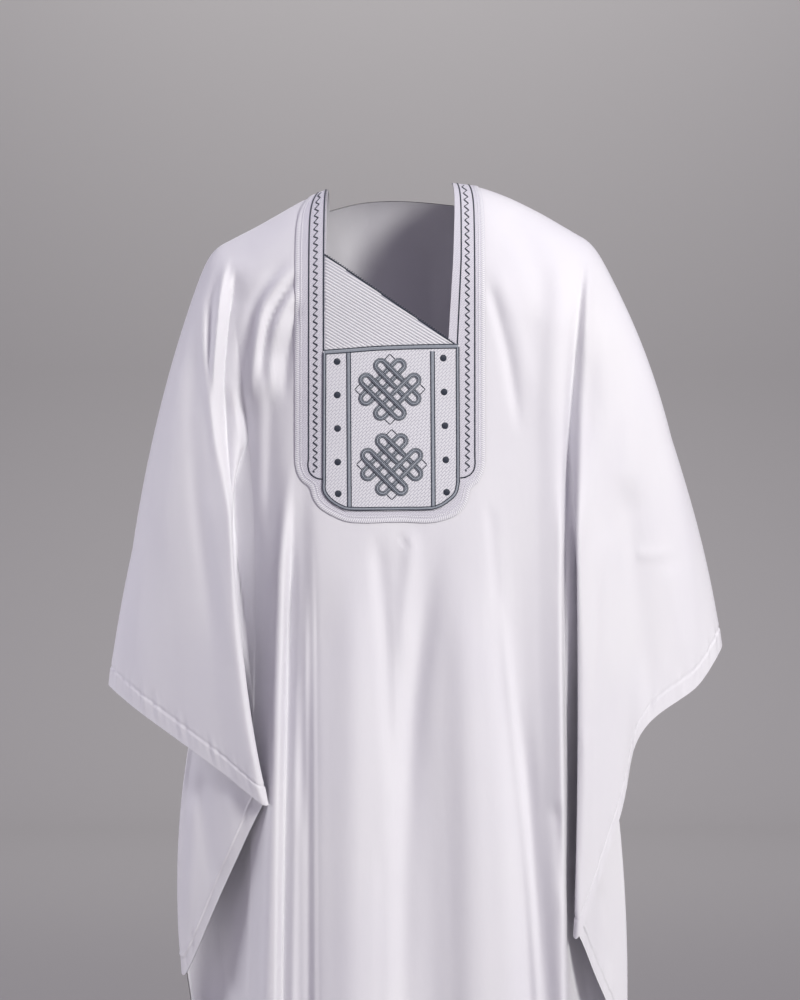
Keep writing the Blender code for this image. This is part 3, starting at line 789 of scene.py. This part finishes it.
def neck_kept(lines, neck_row):
    """The cells of the front or back that the neck opening leaves."""
    rows, columns = row_of(BODY_DROPS)[:-1], body_columns(lines)[:-1]
    low, high = sorted((line_index(lines, "neck_left"), line_index(lines, "neck_right")))
    return ~((rows < neck_row - 1e-6)[:, None] & ((columns >= low) & (columns < high))[None, :])


# Places round a sleeve, and shares of the run down its lines, close together at both ends
SLEEVE_ACROSS = 7
UNDER_STARTS = (0.02, 0.3)
SEAM_ENDS = 0.10
SLEEVE_RUNS = np.concatenate((
    np.linspace(0, 0.06, 13)[:-1], np.linspace(0.06, 0.90, 76)[:-1], np.linspace(0.90, 1.0, 34),
))
AROUND = np.linspace(-LAST_LINE - 1, LAST_LINE + 1, 2 * (LAST_LINE + 1) * SLEEVE_ACROSS + 1)


def sleeve_grid(folds, wearer_left, seed):
    """Fine points of a sleeve, from its seam with the back, round the arm, to its seam with the front."""
    runs, places = SLEEVE_RUNS, np.abs(AROUND)
    past_fold = smooth(places - FIRST_FOLD)
    under = past_fold * (1 - ramp(places, LAST_LINE, LAST_LINE + 1)) * ramp(runs, *UNDER_STARTS)[:, None]
    inner = np.maximum(past_fold[None, :], (1 - ramp(runs, 0.0, SEAM_ENDS))[:, None])
    flat = sleeve_surface(folds, wearer_left, runs, AROUND)
    if not wearer_left:
        flat = fold_drawn(flat, runs, AROUND)
    points = creased(flat, under, inner)
    across, down = measured(points)
    along = np.broadcast_to(across[-1], across.shape)
    return hemmed(points, down[-1] - down, along, seed, -1 if wearer_left else 1)


def share_seam(body_normals, body_column, sleeve_normals, front):
    """Gives a body panel and a sleeve the same normals along their seam."""
    rows = row_of(BODY_DROPS)
    order = np.where(AROUND >= 0)[0] if front else np.where(AROUND <= 0)[0][::-1]
    last = order[-1]
    sleeve_rows = np.concatenate((np.abs(AROUND[order]), seam_rows(SLEEVE_RUNS[1:])))
    on_body = body_normals[:, body_column].copy()
    on_sleeve = np.vstack((sleeve_normals[0, order], sleeve_normals[1:, last]))

    def read(values, known, at):
        return np.stack([np.interp(at, known, values[:, i]) for i in range(3)], axis=1)

    body_normals[:, body_column] = unit(on_body + read(on_sleeve, sleeve_rows, rows))
    shared = unit(on_sleeve + read(on_body, rows, sleeve_rows))
    sleeve_normals[0, order] = shared[:len(order)]
    sleeve_normals[1:, last] = shared[len(order):]


def large_pieces():
    """Front, back and both sleeves."""
    front_points = body_grid(FRONT_LINES, FRONT_DEPTH, -1, 3)
    back_points = body_grid(BACK_LINES, BACK_DEPTH, 1, 5)
    right_points = sleeve_grid(SLEEVE_RIGHT, False, 7)
    left_points = sleeve_grid(SLEEVE_LEFT, True, 11)
    on_front, on_back = surface_normals(front_points), surface_normals(back_points)
    on_right, on_left = surface_normals(right_points), -surface_normals(left_points)
    share_seam(on_front, 0, on_right, True)
    share_seam(on_back, -1, on_right, False)
    share_seam(on_front, -1, on_left, True)
    share_seam(on_back, 0, on_left, False)
    return [grid_piece(name, points, CLOTH, CLOTH_THICK, kept, normals) for name, points, kept, normals in (
        ("front_cloth", front_points, neck_kept(FRONT_LINES, FRONT_NECK_ROW), on_front),
        ("back_cloth", back_points, neck_kept(BACK_LINES, BACK_NECK_ROW), on_back),
        ("sleeve_right_cloth", right_points, None, on_right),
        ("sleeve_left_cloth", left_points[:, ::-1], None, on_left[:, ::-1]),
    )]


front, back, sleeve_right, sleeve_left = large_pieces()


# What is sewn on the front is placed on this map of it: by x, and by row or height

MAP_X = np.linspace(-0.150, 0.150, 151)
MAP_ROWS = np.linspace(0, row_of(0.50), 260)
MAP_COLUMNS = 400


def front_map():
    """Depth and outward direction of the front by row and x."""
    columns = np.linspace(0, len(FRONT_LINES) - 1, MAP_COLUMNS)
    points = body_surface(FRONT_LINES, FRONT_DEPTH, -1, drop_of(MAP_ROWS), columns)
    y = np.array([np.interp(MAP_X, row[:, 0], row[:, 1]) for row in points])
    x = np.broadcast_to(MAP_X, y.shape)
    drops = np.broadcast_to(drop_of(MAP_ROWS)[:, None], y.shape)
    z = shoulder_height(MAP_X)[None, :] * smooth(1 - drops / SHOULDER_FADE) - drops
    place = creased(np.stack((x, y, z), axis=2))
    return place, surface_normals(place)


FRONT_PLACE, FRONT_NORMAL = front_map()


def between(grid, x, rows):
    """Values of a map at any x and row."""
    i = np.clip((x - MAP_X[0]) / (MAP_X[1] - MAP_X[0]), 0, len(MAP_X) - 1.001)
    j = np.clip((rows - MAP_ROWS[0]) / (MAP_ROWS[1] - MAP_ROWS[0]), 0, len(MAP_ROWS) - 1.001)
    a, b = i.astype(int), j.astype(int)
    s, t = (i - a)[..., None], (j - b)[..., None]
    top = grid[b, a] * (1 - s) + grid[b, a + 1] * s
    return top * (1 - t) + (grid[b + 1, a] * (1 - s) + grid[b + 1, a + 1] * s) * t


def drop_at(x, z):
    """The drop below the shoulder line of a height on the front."""
    high = shoulder_height(np.asarray(x, float).ravel()).reshape(np.shape(x))
    drop = -np.asarray(z, float)
    for _ in range(6):
        drop = high * smooth(1 - drop / SHOULDER_FADE) - z
    return np.maximum(drop, 0)


def sewn(x, drop, lift):
    """Places on the front, lifted off it, and the outward directions there."""
    x, drop = np.broadcast_arrays(np.asarray(x, float), np.asarray(drop, float))
    rows = row_of(drop)
    normals = unit(between(FRONT_NORMAL, x, rows))
    return between(FRONT_PLACE, x, rows) + normals * np.asarray(lift)[..., None], normals


def sewn_at(flat, lift):
    """Places on the front given by x and height, lifted off it, and the outward directions there."""
    return sewn(flat[:, 0], drop_at(flat[:, 0], flat[:, 1]), lift)


# Outlines of the panel, flap and pocket, as x and height in the front view

PANEL_LEFT, PANEL_RIGHT = -0.1170, 0.1152
NECK_EDGE_LEFT = -0.0800
NECK_EDGE_RIGHT = ((0.0, 0.0800), (0.10, 0.0765), (0.2047, 0.0702))
SPLIT = 0.2060
PANEL_FOOT = (
    (-0.1170, -0.3480), (-0.1155, -0.3570), (-0.1123, -0.3649), (-0.1080, -0.3712), (-0.1024, -0.3752),
    (-0.0986, -0.3782), (-0.0970, -0.3830), (-0.0955, -0.3900), (-0.0890, -0.4008), (-0.0835, -0.4060),
    (-0.0751, -0.4112), (-0.0639, -0.4168), (-0.0554, -0.4200), (-0.0463, -0.4213), (0.0100, -0.4208),
    (0.0560, -0.4208), (0.0680, -0.4178), (0.0790, -0.4130), (0.0880, -0.4055), (0.0935, -0.3960),
    (0.0958, -0.3870), (0.0972, -0.3812), (0.1010, -0.3770), (0.1065, -0.3725), (0.1105, -0.3650),
    (0.1140, -0.3560), (0.1152, -0.3480),
)
POCKET_LEFT, POCKET_RIGHT = -0.0826, 0.0838
POCKET_TOP = (
    (-0.0826, -0.2122), (-0.0500, -0.2098), (-0.0200, -0.2075), (0.0100, -0.2062), (0.0838, -0.2044),
)
POCKET_FOOT = (
    (-0.0826, -0.3850), (-0.0757, -0.3951), (-0.0660, -0.4022), (-0.0554, -0.4071), (0.0000, -0.4074),
    (0.0530, -0.4062), (0.0620, -0.4032), (0.0725, -0.3960), (0.0805, -0.3875), (0.0838, -0.3800),
)
FLAP_TOP = (-0.0820, -0.0930)
FLAP_TIP = (0.0800, -0.2050)
LEAN_RIGHT = 18 * MM
LEAN_LEFT = 7 * MM
LEAN_DROP = 0.012
LEAN_MIDDLE = 0.08
LEAN_SPREAD = 0.07
STRIP_STEPS = 15
FIELD_STEPS = 64
UPPER_ROWS = 60
FIELD_ROWS = 65
POCKET_GRID = (100, 90)
FLAP_GRID = (50, 40)


def leaned(x, drop):
    """The sewn strips draw in towards the neck near the shoulder seam, most at their outer edges."""
    x = np.asarray(x)
    right = LEAN_RIGHT * np.clip((NECK_EDGE_LEFT - x) / (NECK_EDGE_LEFT - PANEL_LEFT), 0, 1)
    left = -LEAN_LEFT * np.clip(0.5 + (x - LEAN_MIDDLE) / LEAN_SPREAD, 0, 1)
    return x + np.where(x < 0, right, left) * np.exp(-np.asarray(drop) / LEAN_DROP)


def table_at(table, x):
    """Straight lines through a table."""
    return np.interp(x, [row[0] for row in table], [row[1] for row in table])


def panel_piece():
    """The neck panel: a strip each side of the opening, and the field below it."""
    shares = np.linspace(0, 1, STRIP_STEPS + 1)
    left = np.linspace(PANEL_LEFT, NECK_EDGE_LEFT, STRIP_STEPS + 1)
    rows = []
    for drop in drop_of(np.linspace(0, row_of(SPLIT), UPPER_ROWS)):
        inner = table_at(NECK_EDGE_RIGHT, drop)
        middle = np.linspace(NECK_EDGE_LEFT, inner, FIELD_STEPS + 1)[1:-1]
        right = inner + (PANEL_RIGHT - inner) * shares
        x = leaned(np.concatenate((left, middle, right)), drop)
        rows.append(sewn(x, drop, PANEL_LIFT)[0])
    x = np.concatenate((left, middle, right))
    foot = drop_at(x, table_at(PANEL_FOOT, x))
    for share in np.linspace(0, 1, FIELD_ROWS + 1)[1:]:
        rows.append(sewn(x, SPLIT + (foot - SPLIT) * share, PANEL_LIFT)[0])
    points = np.array(rows)
    kept = np.ones((len(points) - 1, len(x) - 1), bool)
    kept[:UPPER_ROWS - 1, STRIP_STEPS:STRIP_STEPS + FIELD_STEPS] = False
    return grid_piece("panel_cloth", points, PANEL, PANEL_THICK, kept)


def pocket_piece():
    """The patch pocket, with its rounded lower corners."""
    x = np.linspace(POCKET_LEFT, POCKET_RIGHT, POCKET_GRID[1])
    top = drop_at(x, table_at(POCKET_TOP, x))
    foot = drop_at(x, table_at(POCKET_FOOT, x))
    shares = np.linspace(0, 1, POCKET_GRID[0])
    points = np.array([sewn(x, top + (foot - top) * share, POCKET_LIFT)[0] for share in shares])
    return grid_piece("pocket_cloth_piece", points, POCKET, PANEL_THICK)


def flap_piece():
    """The plain cloth of the flap, below its slanted edge, coloured grey as painted shade that shows between
    the cords.
    """
    slope = (FLAP_TIP[0] - FLAP_TOP[0]) / (FLAP_TIP[1] - FLAP_TOP[1])
    rows = []
    for z in np.linspace(FLAP_TOP[1], FLAP_TIP[1] - 4 * MM, FLAP_GRID[0]):
        edge = min(FLAP_TOP[0] + (z - FLAP_TOP[1]) * slope, FLAP_TIP[0])
        x = np.linspace(FLAP_TOP[0], edge + 0.2 * MM, FLAP_GRID[1])
        rows.append(sewn(x, drop_at(x, z), PANEL_LIFT)[0])
    return grid_piece("flap_cloth", np.array(rows), RIB_GROOVE_SHADE, PANEL_THICK)


panel = panel_piece()
pocket = pocket_piece()
flap = flap_piece()


class Stitching:
    """Raised lines of thread, gathered into one piece."""

    ROUND = np.linspace(-1, 1, 7)
    SUNK = 0.15 * MM
    END_RISE = 0.15
    RINGS = 5
    SIDES = 18

    def __init__(self):
        self.points, self.faces, self.uvs = [], [], []
        self.count = 0

    def add(self, places, normals, width, height, closed=False):
        """One line of thread with a round top and, unless it is closed, low ends."""
        if closed:
            ahead, behind = np.roll(places, -1, axis=0), np.roll(places, 1, axis=0)
        else:
            ahead, behind = np.vstack((places[1:], places[-1:])), np.vstack((places[:1], places[:-1]))
        across = unit(np.cross(normals, unit(ahead - behind)))
        rise = np.full(len(places), float(height))
        if not closed:
            rise[[0, -1]] *= self.END_RISE
        k = self.ROUND
        up = rise[:, None] * np.sqrt(np.clip(1 - k * k, 0, 1)) - self.SUNK
        out = np.broadcast_to(np.asarray(width), len(places))[:, None] * k / 2
        points = places[:, None] + across[:, None] * out[..., None] + normals[:, None] * up[..., None]
        uvs = np.stack((np.broadcast_to(run_along(places)[:, None], up.shape), out), axis=2)
        n, m = up.shape
        i, j = np.meshgrid(np.arange(n if closed else n - 1), np.arange(m - 1), indexing="ij")
        a = (i * m + j).ravel()
        b = (((i + 1) % n) * m + j).ravel()
        self.gather(points.reshape(-1, 3), np.stack((a, b, b + 1, a + 1), axis=1), uvs.reshape(-1, 2))

    def gather(self, points, faces, uvs):
        """Takes in some points, faces and UVs."""
        self.faces.append(faces + self.count)
        self.points.append(points)
        self.uvs.append(uvs)
        self.count += len(points)

    def line(self, path, width, height, lift, step=2.0 * MM):
        """A line through points given by x and height."""
        self.add(*sewn_at(stepped(path, step, 3), lift), width, height)

    def dot(self, x, z, radius, height, lift):
        """A round, domed dot."""
        angles = np.linspace(0, 2 * np.pi, self.SIDES, endpoint=False)
        share = np.arange(self.RINGS)[:, None] / self.RINGS
        across, down = x + radius * (1 - share) * np.cos(angles), z + radius * (1 - share) * np.sin(angles)
        up = np.broadcast_to(lift - 0.2 * MM + height * np.sqrt(1 - (1 - share) ** 2), across.shape)
        flat = np.stack((np.append(across, x), np.append(down, z)), axis=1)
        ring, side = np.indices(across.shape)
        top = across.size
        a, b = ring * self.SIDES + side, ring * self.SIDES + (side + 1) % self.SIDES
        faces = np.stack((a, b, np.minimum(b + self.SIDES, top), np.minimum(a + self.SIDES, top)), axis=2)
        self.gather(sewn_at(flat, np.append(up, lift + height))[0], faces.reshape(-1, 4), flat)

    def piece(self, name, material):
        """All the lines as one piece."""
        faces = [tuple(dict.fromkeys(face)) for face in np.vstack(self.faces).tolist()]
        return mesh_piece(name, np.vstack(self.points), faces, np.vstack(self.uvs), material)


LINE_WIDTH = 2.0 * MM
LINE_HEIGHT = 0.9 * MM
DOUBLE_WIDTH = 1.45 * MM
LINE_START = 0.05
LINE_POINTS = 90
FOOT_POINTS = 14


def border_line(stitching, line, z_straight, foot, width, height=LINE_HEIGHT):
    """A border line: straight down from the shoulder seam, at an x or along a table, then round its foot."""
    drops = drop_of(np.linspace(LINE_START, row_of(-z_straight), LINE_POINTS))
    x = leaned(table_at(line, drops) if isinstance(line, tuple) else line, drops)
    if len(foot):
        bend = smoothed(((line, z_straight),) + foot, FOOT_POINTS)[1:]
        x = np.concatenate((x, bend[:, 0]))
        drops = np.concatenate((drops, drop_at(bend[:, 0], bend[:, 1])))
    stitching.add(*sewn(x, drops, PANEL_LIFT), width, height)


OUTER_FOOT_LEFT = (
    (-0.1008, -0.3530), (-0.0985, -0.3610), (-0.0940, -0.3655), (-0.0885, -0.3680), (-0.0835, -0.3688),
)
OUTER_FOOT_RIGHT = (
    (0.1028, -0.3500), (0.1005, -0.3590), (0.0955, -0.3640), (0.0900, -0.3665), (0.0846, -0.3670),
)
INNER_LINE_RIGHT = ((0.0, 0.0870), (0.10, 0.0862), (0.2060, 0.0812))
# Dark border lines: x or a table of it, the height where the straight part ends, the foot and the width
BORDER_LINES = (
    (-0.1003, -0.3427, OUTER_FOOT_LEFT, LINE_WIDTH),
    (0.1026, -0.3400, OUTER_FOOT_RIGHT, LINE_WIDTH),
    (-0.0822, -0.2120, (), LINE_WIDTH * 1.1),
    (INNER_LINE_RIGHT, -SPLIT, (), LINE_WIDTH),
)
# White lines inside the panel's edge: how far in, where the straight part ends, width and height
EDGE_LINES = ((2.6 * MM, -0.3490, 5.0 * MM, 0.5 * MM), (7.2 * MM, -0.3460, 1.6 * MM, 0.6 * MM))
WAVE_LEFT, WAVE_RIGHT = -0.0922, 0.0936
WAVE_PITCH = 9.0 * MM
WAVE_SWING = 2.5 * MM
WAVE_THIN = 1.1 * MM
WAVE_THICK = 2.3 * MM
WAVE_START, WAVE_END = 0.003, 0.3600


def wave_line(stitching, x):
    """The zigzag stitch between a border's two lines, thick where it runs one way and thin the other."""
    drops = np.arange(WAVE_START, WAVE_END, WAVE_PITCH / 12)
    phase = drops / WAVE_PITCH * 2 * np.pi
    swing = WAVE_SWING * (0.9 * np.sin(phase) - 0.10 * np.sin(3 * phase))
    width = WAVE_THIN + (WAVE_THICK - WAVE_THIN) * smooth(0.5 + 0.7 * np.cos(phase))
    stitching.add(*sewn(leaned(x + swing, drops), drops, PANEL_LIFT), width, LINE_HEIGHT)


def offset_path(path, away, step=1.5 * MM):
    """A path in the front view, moved sideways to its left."""
    dense = stepped(path, step, 4)
    along = unit(np.gradient(dense, axis=0))
    return dense + np.stack((-along[:, 1], along[:, 0]), axis=1) * away


def double_line(dark, grey, path, gap):
    """Two dark lines on the pocket with a grey band between them."""
    for away in (-gap / 2, gap / 2):
        dark.line(offset_path(path, away), DOUBLE_WIDTH, LINE_HEIGHT, POCKET_LIFT)
    grey.line(offset_path(path, 0.0), gap, LINE_HEIGHT * 0.7, POCKET_LIFT)


KNOT_CENTRES = ((-0.0010, -0.2589), (0.0012, -0.3508))
STRAND_STEP = 12.7 * MM
STRAND_HALF = 28.5 * MM
STRAND_WIDTH = 5.9 * MM
OVER_LIFT = 0.75 * MM
OVER_REACH = STRAND_STEP * 0.70
STRAIGHT_POINTS = 72
TURN_POINTS = 14
DIAMOND_FAR = 30.4 * MM
DIAMOND_NEAR = 21.0 * MM
DIAMOND_WIDTH = 1.3 * MM
DIAMOND_HEIGHT = 0.8 * MM
STRAND_HEIGHT = 0.80 * MM
STRAND_LINE_HEIGHT = 1.10 * MM


def stadium(axis, radius):
    """A closed loop with straight sides along the first axis, centred on a line beside it."""
    straight = np.linspace(-STRAND_HALF, STRAND_HALF, STRAIGHT_POINTS)
    turn = np.linspace(-np.pi / 2, np.pi / 2, TURN_POINTS)[1:-1]
    side = np.stack((straight, np.full(len(straight), -radius)), axis=1)
    end = np.stack((STRAND_HALF + radius * np.cos(turn), radius * np.sin(turn)), axis=1)
    return np.vstack((side, end, -side, -end)) + (0.0, axis)


# Where the strands cross: a row for each one that slopes down, a column for each that slopes up, and 1 where
# the one that slopes down is on top
WEAVE = np.array(((1, 1, 1, 1), (1, 1, 1, 1), (1, 1, 0, 0), (1, 1, 0, 0)))
# Dark lines on each strand: how far from its middle, and how wide, in millimetres
STRAND_LINES = ((-2.6, 0.65), (-1.15, 0.95), (1.15, 0.95), (2.6, 0.65))


def weave_lift(along, beside, table):
    """How far a strand rises where it crosses over others."""
    strands = (np.arange(4) - 1.5) * STRAND_STEP
    own = np.clip(np.round(beside / STRAND_STEP + 1.5), 0, 3).astype(int)
    lift = np.zeros(len(along))
    for i, place in enumerate(strands):
        near = np.clip(1 - np.abs(along - place) / OVER_REACH, 0, 1)
        lift = np.maximum(lift, table[own, i] * OVER_LIFT * smooth(near * 2.0))
    return lift


def knot(dark, grey, centre):
    """An interlaced knot of four long loops, two each way, with a small diamond at each point."""
    down_right = np.array((1.0, -1.0)) / np.sqrt(2)
    up_right = np.array((1.0, 1.0)) / np.sqrt(2)
    for table, first, second in ((WEAVE, down_right, up_right), (1 - WEAVE.T, up_right, down_right)):
        for axis in (-STRAND_STEP, STRAND_STEP):
            strand = [(0.0, STRAND_WIDTH, STRAND_HEIGHT, grey)]
            strand += [(away * MM, width * MM, STRAND_LINE_HEIGHT, dark) for away, width in STRAND_LINES]
            for away, width, height, thread in strand:
                loop = stadium(axis, STRAND_STEP / 2 + away)
                beside = axis + np.sign(loop[:, 1] - axis) * STRAND_STEP / 2
                lift = POCKET_LIFT + weave_lift(loop[:, 0], beside, table)
                flat = np.array(centre) + loop[:, :1] * first + loop[:, 1:] * second
                thread.add(*sewn_at(flat, lift), width, height, closed=True)
    for right, up in ((-1, 1), (1, 1), (1, -1), (-1, -1)):
        apex = (right * DIAMOND_FAR, up * DIAMOND_FAR)
        for leg in ((right * DIAMOND_NEAR, up * DIAMOND_FAR), (right * DIAMOND_FAR, up * DIAMOND_NEAR)):
            ends = [np.array(centre) + p[0] * down_right + p[1] * up_right for p in (apex, leg)]
            dark.line(ends, DIAMOND_WIDTH, DIAMOND_HEIGHT, POCKET_LIFT)


DOT_RADIUS = 4.5 * MM
DOT_HEIGHT = 1.1 * MM
DOTS = (
    (-0.0655, -0.2250), (-0.0652, -0.2657), (-0.0649, -0.3067), (-0.0646, -0.3478), (-0.0640, -0.3865),
    (0.0640, -0.2207), (0.0650, -0.2621), (0.0660, -0.3034), (0.0671, -0.3451), (0.0681, -0.3846),
)
POCKET_RIM = (
    (-0.0808, -0.2138), (-0.0809, -0.2700), (-0.0810, -0.3300), (-0.0810, -0.3700), (-0.0808, -0.3830),
    (-0.0745, -0.3925), (-0.0650, -0.3995), (-0.0550, -0.4040), (-0.0440, -0.4048), (-0.0200, -0.4048),
    (0.0200, -0.4044), (0.0420, -0.4042), (0.0520, -0.4034), (0.0608, -0.4004), (0.0705, -0.3940),
    (0.0788, -0.3855), (0.0815, -0.3760), (0.0818, -0.3600), (0.0818, -0.3000), (0.0816, -0.2500),
    (0.0815, -0.2065),
)
POCKET_HEAD = (
    (-0.0815, -0.2135), (-0.0500, -0.2113), (-0.0200, -0.2090), (0.0100, -0.2077), (0.0825, -0.2060),
)
# The pocket's double lines and how wide they are between the middles of their dark edges
DOUBLE_LINES = (
    (POCKET_RIM, 3.3 * MM),
    (POCKET_HEAD, 4.8 * MM),
    (((-0.0515, -0.2120), (-0.0503, -0.4040)), 4.5 * MM),
    (((0.0508, -0.2120), (0.0520, -0.4040)), 4.5 * MM),
)
RIB_SLOPE = np.radians(-31)
RIB_PITCH = 3.4 * MM
RIB_WIDTH = RIB_PITCH * 0.82
RIBS_MOST = 34
CROSS_PITCH = 3.3 * MM


def flap_ribs():
    """Fine cords side by side over the flap."""
    ribs = Stitching()
    along = np.array((np.cos(RIB_SLOPE), np.sin(RIB_SLOPE)))
    square = np.array((-along[1], along[0]))
    origin = np.array(FLAP_TOP)
    edge = unit(np.array(FLAP_TIP) - origin)
    run = np.arange(-0.02, 0.22, 1.5 * MM)
    for number in range(1, RIBS_MOST):
        line = origin - square * RIB_PITCH * number + along * run[:, None]
        below_edge = (line - origin) @ (-edge[1], edge[0]) < -1.2 * MM
        beside_edge = line[:, 0] > FLAP_TOP[0] + 0.8 * MM
        above_pocket = line[:, 1] > table_at(POCKET_TOP, line[:, 0]) - 2 * MM
        line = line[below_edge & beside_edge & above_pocket]
        if len(line) < 3:
            continue
        ribs.add(*sewn_at(line, PANEL_LIFT), RIB_WIDTH, LINE_HEIGHT)
    return ribs.piece("flap_cords", RIBS)


def flap_piping(dark):
    """The dark cord along the flap's slanted edge, with its short cross stitches."""
    dark.line((FLAP_TOP, FLAP_TIP), 2.2 * MM, 1.2 * MM, PANEL_LIFT)
    edge = np.array(FLAP_TIP) - FLAP_TOP
    along = unit(edge)
    leg = np.array((-along[1], along[0])) * 2.3 * MM + along * 0.9 * MM
    for place in np.arange(4 * MM, np.linalg.norm(edge) - 3 * MM, CROSS_PITCH):
        root = FLAP_TOP + along * place
        dark.line((root, root + leg), 0.8 * MM, 0.6 * MM, PANEL_LIFT, step=0.8 * MM)


def panel_stitching():
    """The dark and the white stitching of the panel, with the flap's piping."""
    dark, white = Stitching(), Stitching()
    for row in BORDER_LINES:
        border_line(dark, *row)
    for x in (WAVE_LEFT, WAVE_RIGHT):
        wave_line(dark, x)
    flap_piping(dark)
    for inset, z_straight, width, height in EDGE_LINES:
        for x in (PANEL_LEFT + inset, PANEL_RIGHT - inset):
            border_line(white, x, z_straight, (), width, height)
        white.line(offset_path(PANEL_FOOT, inset, 1.2 * MM), width, height, PANEL_LIFT, step=1.5 * MM)
    return dark.piece("panel_dark_stitching", DARK_THREAD), white.piece("panel_white_stitching", WHITE_THREAD)


def pocket_stitching():
    """The dark and the grey stitching of the pocket: its double lines, dots and knots."""
    dark, grey = Stitching(), Stitching()
    for path, gap in DOUBLE_LINES:
        double_line(dark, grey, path, gap)
    for x, z in DOTS:
        dark.dot(x, z, DOT_RADIUS, DOT_HEIGHT, POCKET_LIFT)
    for centre in KNOT_CENTRES:
        knot(dark, grey, centre)
    return dark.piece("pocket_dark_stitching", DARK_THREAD), grey.piece("pocket_grey_stitching", GREY_THREAD)


panel_dark, panel_white = panel_stitching()
pocket_dark, pocket_grey = pocket_stitching()
flap_cords = flap_ribs()


FLOOR = -1.50
FLOOR_REACH = 12.0
WALL = 8.6
WALL_TOP = 8.0
SWEEP_RADIUS = 1.6
SWEEP_STEPS = 25


def backdrop():
    """A plain pale floor that curves up into a plain wall."""
    turn = np.linspace(-np.pi / 2, 0, SWEEP_STEPS)
    bend = [(WALL - SWEEP_RADIUS * (1 - np.cos(a)), FLOOR + SWEEP_RADIUS * (1 + np.sin(a))) for a in turn]
    profile = [(-FLOOR_REACH, FLOOR)] + bend + [(WALL, WALL_TOP)]
    points = [(x, y, z) for y, z in profile for x in (-FLOOR_REACH, FLOOR_REACH)]
    faces = [(2 * i, 2 * i + 1, 2 * i + 3, 2 * i + 2) for i in range(len(profile) - 1)]
    material = new_material("pale_backdrop", (0.40, 0.392, 0.385), 0.9, specular=0.1)[0]
    mesh_piece("backdrop", np.array(points), faces, None, material)


def studio_light():
    """A soft key from the right, a weaker fill from the left and a pale surround."""
    world = bpy.context.scene.world or bpy.data.worlds.new("surround")
    bpy.context.scene.world = world
    bpy.context.scene.view_settings.view_transform = "Standard"
    world.use_nodes = True
    background = world.node_tree.nodes["Background"]
    background.inputs["Color"].default_value = (0.262, 0.233, 0.312, 1.0)
    background.inputs["Strength"].default_value = 1.0
    for name, place, size, power, colour in (
        ("key", (2.3, -3.0, 1.3), 1.0, 143, (1.0, 0.985, 0.945)),
        ("fill", (-3.2, -3.0, 0.2), 2.4, 8, (0.95, 0.90, 1.0)),
        ("rim", (-3.2, 0.5, 0.1), 1.4, 44, (0.985, 0.975, 1.0)),
        ("top", (0.6, 0.9, 2.6), 1.6, 20, (1.0, 1.0, 1.0)),
        ("wall", (0.0, 5.8, 3.6), 4.0, 170, (1.0, 0.99, 0.98)),
    ):
        data = bpy.data.lights.new(name, "AREA")
        data.size = size
        data.energy = power
        data.color = colour
        light = added(name, data)
        light.location = place
        target = (0.0, WALL, 0.0) if name == "wall" else (0.0, 0.0, -0.5)
        light.rotation_euler = (Vector(target) - Vector(place)).to_track_quat("-Z", "Y").to_euler()


def camera():
    """The photograph's view: level, from the front, at the height of the chest."""
    data = bpy.data.cameras.new("camera")
    data.sensor_fit = "VERTICAL"
    data.sensor_height = FILM_HEIGHT
    data.lens = LENS
    view = added("camera", data)
    view.location = CAMERA_PLACE
    view.rotation_euler = (np.pi / 2, 0.0, 0.0)
    bpy.context.scene.camera = view


camera()
backdrop()
studio_light()

for piece, node, slot in (
    (front, "front_body", "cloth"),
    (back, "back_body", "cloth"),
    (sleeve_right, "sleeve_right", "cloth"),
    (sleeve_left, "sleeve_left", "cloth"),
    (panel, "neck_panel", "panel_cloth"),
    (flap, "neck_flap", "panel_cloth"),
    (pocket, "chest_pocket", "panel_cloth"),
):
    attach(piece, "root")
    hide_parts(node)
for piece in (panel_dark, panel_white, pocket_dark, pocket_grey, flap_cords):
    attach(piece, "root")
